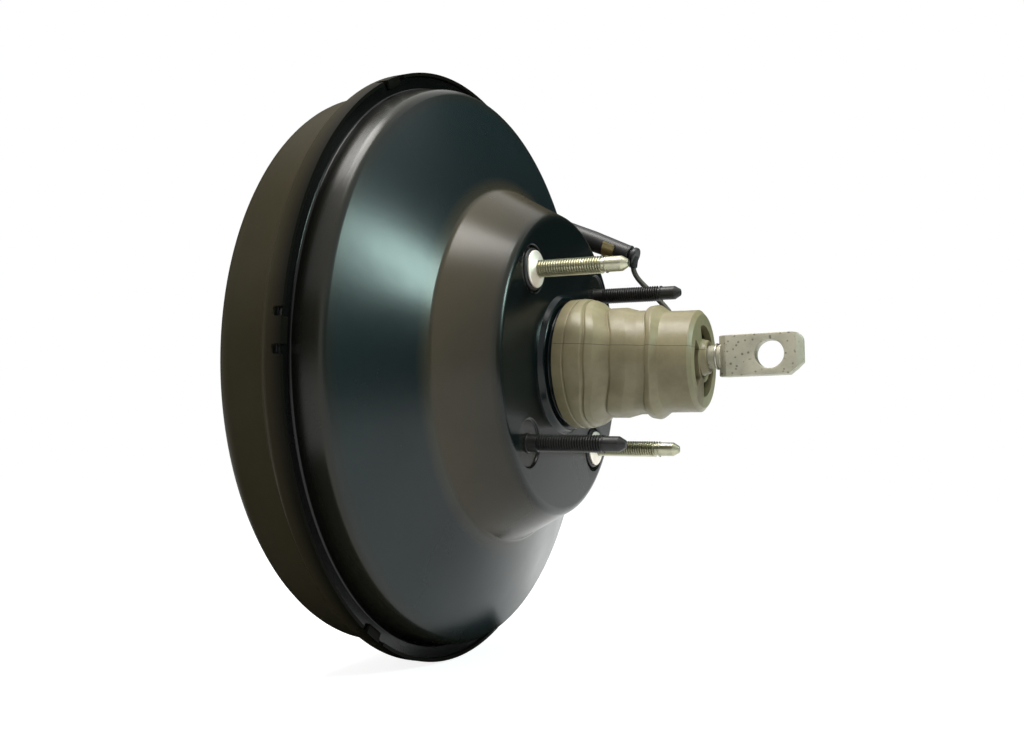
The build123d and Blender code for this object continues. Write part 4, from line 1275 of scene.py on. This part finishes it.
@dataclass
class Lead:
    """Rubber sleeve on the hub's far side, its plug, and the loose lead; the clip is not built here.

    Attributes:
        tip: The sleeve's tip.
        lift: Degrees above the axis at which the sleeve points.
        sleeve: (x, radius, bend) of the sleeve's outside, from its root to the tip.
        plug_gap: How far the plug's disc stands behind the tip.
        outlet: Length of the plug's outlet, which points outlet_lift degrees above the axis.
        outlet_depth: How deep the lead is plugged into it.
        length_mm: The lead's whole length; not used.
        route: Points of the lead, from the plug's outlet to the hub's grommet.
    """

    tip: Place = (9.8, 60.0, 65.6)
    lift: float = -23.0
    sleeve: tuple[Corner, ...] = (
        (-56.0, 0, 0), (-56.0, 5.6, 1.0), (-33.0, 5.6, 8.0), (-24.0, 5.7, 8.0), (-1.6, 4.9, 0.4),
        (-1.2, 5.1, 0.2), (0.0, 5.1, 0.6), (0.0, 0, 0),
    )
    plug_gap: float = 1.4
    plug_thick: float = 2.4
    plug_r: float = 5.0
    plug_neck_r: float = 3.5
    outlet_r: float = 2.2
    outlet: float = 6.2
    outlet_lift: float = -97.0
    outlet_depth: float = 1.6
    lead_r: float = 1.4
    length_mm: float = 109.0
    route: tuple[Place, ...] = (
        (11.0, 60.0, 55.2), (23.5, 60.0, 42.8), (33.0, 59.0, 33.0), (39.5, 56.0, 22.0), (39.0, 51.5, 9.5),
        (32.0, 47.5, -0.5), (21.0, 44.0, -4.5), (9.5, 42.5, -2.0), (-1.8, 42.5, -2.0),
    )

    def build(self) -> None:
        """Build and dress the sleeve, the plug and the lead."""
        way = heading(self.lift)
        sleeve = turned_at("lead_sleeve_boot", rounded(self.sleeve), [self.tip], way, closed=False, steps=72)
        dress(sleeve, Slot.RUBBER, Body.HOUSING, ["lead_sleeve"])
        rear = self.plug_gap + self.plug_thick
        plug = turned_at("lead_plug_disc", rounded([
            (-1.0, 0, 0), (-1.0, self.plug_neck_r, 0), (self.plug_gap, self.plug_neck_r, 0.3),
            (self.plug_gap, self.plug_r, 0.5), (rear, self.plug_r, 0.9), (rear, 0, 0)]),
            [self.tip], way, closed=False, steps=64)
        centre = Vector(self.tip) + way * (self.plug_gap + self.plug_thick / 2)
        down = heading(self.outlet_lift)
        outlet = turned_at("lead_plug_outlet", rounded([
            (0.0, 0, 0), (0.0, self.outlet_r, 0), (self.outlet, self.outlet_r, 0.6), (self.outlet, 0, 0)]),
            [tuple(centre)], down, closed=False, steps=40)
        whole = join("lead_plug_disc", [plug, outlet])
        smooth(whole, 40)
        dress(whole, Slot.RUBBER, Body.HOUSING, ["lead_plug"])
        self.cord(centre + down * (self.outlet - self.outlet_depth))

    def cord(self, start: Vector) -> None:
        """The lead itself, one smooth line through its route.

        Args:
            start: Where the lead leaves the plug's outlet, in millimetres.
        """
        curve = bpy.data.curves.new("lead_wire", "CURVE")
        curve.dimensions = "3D"
        curve.bevel_depth = self.lead_r * MM
        curve.bevel_resolution = 6
        curve.resolution_u = 16
        curve.use_fill_caps = True
        line = curve.splines.new("NURBS")
        points = [tuple(start), *self.route]
        line.points.add(len(points) - 1)
        for point, at in zip(line.points, points):
            point.co = (*(Vector(at) * MM), 1.0)
        line.order_u = 3
        line.use_endpoint_u = True
        wire = bpy.data.objects.new("lead_wire", curve)
        bpy.context.collection.objects.link(wire)
        dress(wire, Slot.LEAD, Body.HOUSING, ["lead"])


# ---------------------------------------------------------------- frame pieces and stage


def finish_frame_nodes(frame: dict) -> None:
    """Give every node of the frame its slot's finish.
    """
    slots = {part["node"]: part["material_slot"] for part in frame["record"]["subparts"]}
    for name, node in frame["nodes"].items():
        material = FINISHES[Slot(slots[name])].material()
        for i in range(len(node.material_slots)):
            node.material_slots[i].material = material
        log.info("%s finished as %s", name, slots[name])


@dataclass
class Stage:
    """Floor, lamps, world and camera, in metres.

    Attributes:
        eye: The camera's place.
        forward: The way it looks.
        upward: Its upward direction.
        lens: Its focal length in millimetres.
        floor_z: Height of the floor.
        floor_glow: Strength at which the floor shows white.
    """

    eye: Place = (0.1973, -0.4730, -0.0525)
    forward: Place = (-0.4327, 0.8963, 0.0971)
    upward: Place = (0.0200, -0.0982, 0.9950)
    lens: float = 36.85
    floor_z: float = -0.1482
    floor_glow: float = 0.86

    def build(self) -> None:
        """Set up the whole stage."""
        self.floor()
        self.lamps()
        self.world()
        self.camera()
        bpy.context.scene.view_settings.view_transform = "Standard"

    def pale_background(self, tree: Tree, light: Socket, pale: Socket, output: Node) -> None:
        """Show one shader to the camera and in reflections and glass, and let another light the object.

        Args:
            tree: The tree to work in.
            light: The shader that lights the object.
            pale: The shader that is seen.
            output: The tree's output.
        """
        ray = add(tree, "LightPath", {})
        seen = math_node(tree, "MAXIMUM", ray["Is Camera Ray"], ray["Is Glossy Ray"])
        seen = math_node(tree, "MAXIMUM", seen, ray["Is Transmission Ray"])
        mixed = add(tree, "MixShader", {"Fac": seen, 1: light, 2: pale})
        feed(tree, output, {"Surface": mixed[0]})

    def matt(self, name: str, tone: Colour, roughness: float) -> tuple[bpy.types.Material, Node]:
        """Make a matt material with no shine.

        Args:
            name: The material's name.
            tone: Its colour.
            roughness: Its roughness.

        Returns:
            The material and its shader.
        """
        made = bpy.data.materials.new(name)
        made.use_nodes = True
        shader = made.node_tree.nodes["Principled BSDF"]
        feed(made.node_tree, shader, {"Base Color": (*tone, 1), "Roughness": roughness, "Specular IOR Level": 0.0})
        return made, shader

    def floor(self) -> None:
        """A wide pale floor under the rim, which keeps the booster's shadow."""
        deselect_everything()
        bpy.ops.mesh.primitive_plane_add(size=8, location=(0, 0, self.floor_z))
        floor = bpy.context.object
        floor.name = "floor"
        paper, shader = self.matt("pale_floor", (0.5, 0.5, 0.5), 0.9)
        tree = paper.node_tree
        glow = add(tree, "Emission", {"Strength": self.floor_glow})
        pale = add(tree, "AddShader", {0: shader.outputs["BSDF"], 1: glow[0]})
        self.pale_background(tree, shader.outputs["BSDF"], pale[0], tree.nodes["Material Output"])
        floor.data.materials.append(paper)

    def dark_card(self, name: str, at: Place, size: Point, aim: Place = BOOSTER_MIDDLE) -> None:
        """A dark backdrop outside the picture, which only reflections meet.

        Args:
            name: The card's name.
            at: Its place in metres.
            size: Its width and height in metres.
            aim: The point it faces.
        """
        deselect_everything()
        bpy.ops.mesh.primitive_plane_add(size=1, location=at)
        card = bpy.context.object
        card.name = name
        card.scale = (*size, 1)
        card.rotation_euler = (Vector(aim) - Vector(at)).to_track_quat("Z", "Y").to_euler()
        card.data.materials.append(self.matt(name, (0.02, 0.022, 0.022), 1.0)[0])
        card.visible_camera = False
        card.visible_diffuse = False
        card.visible_shadow = False

    def lamp(self, name: str, at: Place, size: Point, power: float, colour: Colour) -> None:
        """A soft box aimed at the booster.

        Args:
            name: The lamp's name.
            at: Its place in metres.
            size: Its width and height in metres.
            power: Its power in watts.
            colour: Its colour.
        """
        light = bpy.data.lights.new(name, "AREA")
        light.shape = "RECTANGLE"
        light.size, light.size_y = size
        light.energy = power
        light.color = colour
        lamp = bpy.data.objects.new(name, light)
        lamp.location = at
        lamp.rotation_euler = (Vector(BOOSTER_MIDDLE) - Vector(at)).to_track_quat("-Z", "Y").to_euler()
        bpy.context.collection.objects.link(lamp)

    def lamps(self) -> None:
        """The soft boxes, and the dark cards that the paint reflects."""
        self.lamp("top_box", (-0.05, -0.25, 1.05), (0.8, 0.5), 18.0, (1.0, 0.98, 0.94))
        self.lamp("left_box", (-1.0, -0.9, 0.45), (0.3, 0.6), 3.0, (1.0, 0.93, 0.82))
        self.lamp("right_window", (1.02, 0.21, 0.49), (0.18, 0.24), 6.4, (0.70, 1.0, 0.93))
        # The floor card is painted shadow: a dark sheet just over the floor under the booster, met only by
        # reflections, that darkens the floor's reflection where the booster's shadow lies.
        self.dark_card("painted_shadow_card", (-0.17, -0.1, self.floor_z + 0.0003), (0.28, 0.34), aim=(-0.17, -0.1, 1))
        self.dark_card("far_card", (0.5, 1.5, 0.75), (3.2, 1.5))
        self.dark_card("right_card", (0.95, 0.0, 0.08), (1.6, 0.42))
        self.dark_card("near_card", (-0.9, -1.9, 0.3), (4.4, 0.86))
        self.dark_card("back_card", (-1.6, 1.1, 0.7), (2.4, 1.6))

    def world(self) -> None:
        """An even pale world that is seen as white."""
        world = bpy.data.worlds.new("pale_room")
        bpy.context.scene.world = world
        world.use_nodes = True
        tree = world.node_tree
        room = tree.nodes["Background"]
        feed(tree, room, {"Color": (0.92, 0.96, 1.0, 1), "Strength": 0.34})
        pale = add(tree, "Background", {"Color": (1, 1, 1, 1)})
        self.pale_background(tree, room.outputs[0], pale[0], tree.nodes["World Output"])

    def camera(self) -> None:
        """The camera at the three-quarter rear view."""
        lens = bpy.data.cameras.new("view")
        lens.lens = self.lens
        lens.sensor_width = 36.0
        camera = bpy.data.objects.new("view", lens)
        forward, upward = Vector(self.forward), Vector(self.upward)
        right = forward.cross(upward).normalized()
        camera.matrix_world = Matrix.Translation(self.eye) @ Matrix(
            (right, right.cross(forward), -forward)).transposed().to_4x4()
        bpy.context.collection.objects.link(camera)
        bpy.context.scene.camera = camera


def main() -> None:
    """Load the frame, model every visible piece and set the stage."""
    logging.basicConfig(level=logging.INFO, format="%(name)s: %(message)s")
    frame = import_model()
    finish_frame_nodes(frame)
    Housing().build()
    Stud("plated_stud_threads", Slot.ZINC, ((-40.0, 40.0), (40.0, -40.0)), "plated_studs", -1.3, (0.6, 33.9)).build()
    Stud("coated_stud_threads", Slot.BLACK_OXIDE, ((-40.0, -40.0), (40.0, 40.0)), "coated_studs", -2.2,
         (2.6, 33.9), head_x=-7.6).build()
    StudFittings().build()
    Boot().build()
    MovingWall().build()
    squash_springs(frame)
    PedalRod().build()
    Lead().build()
    Stage().build()


if __name__ == "__main__":
    main()
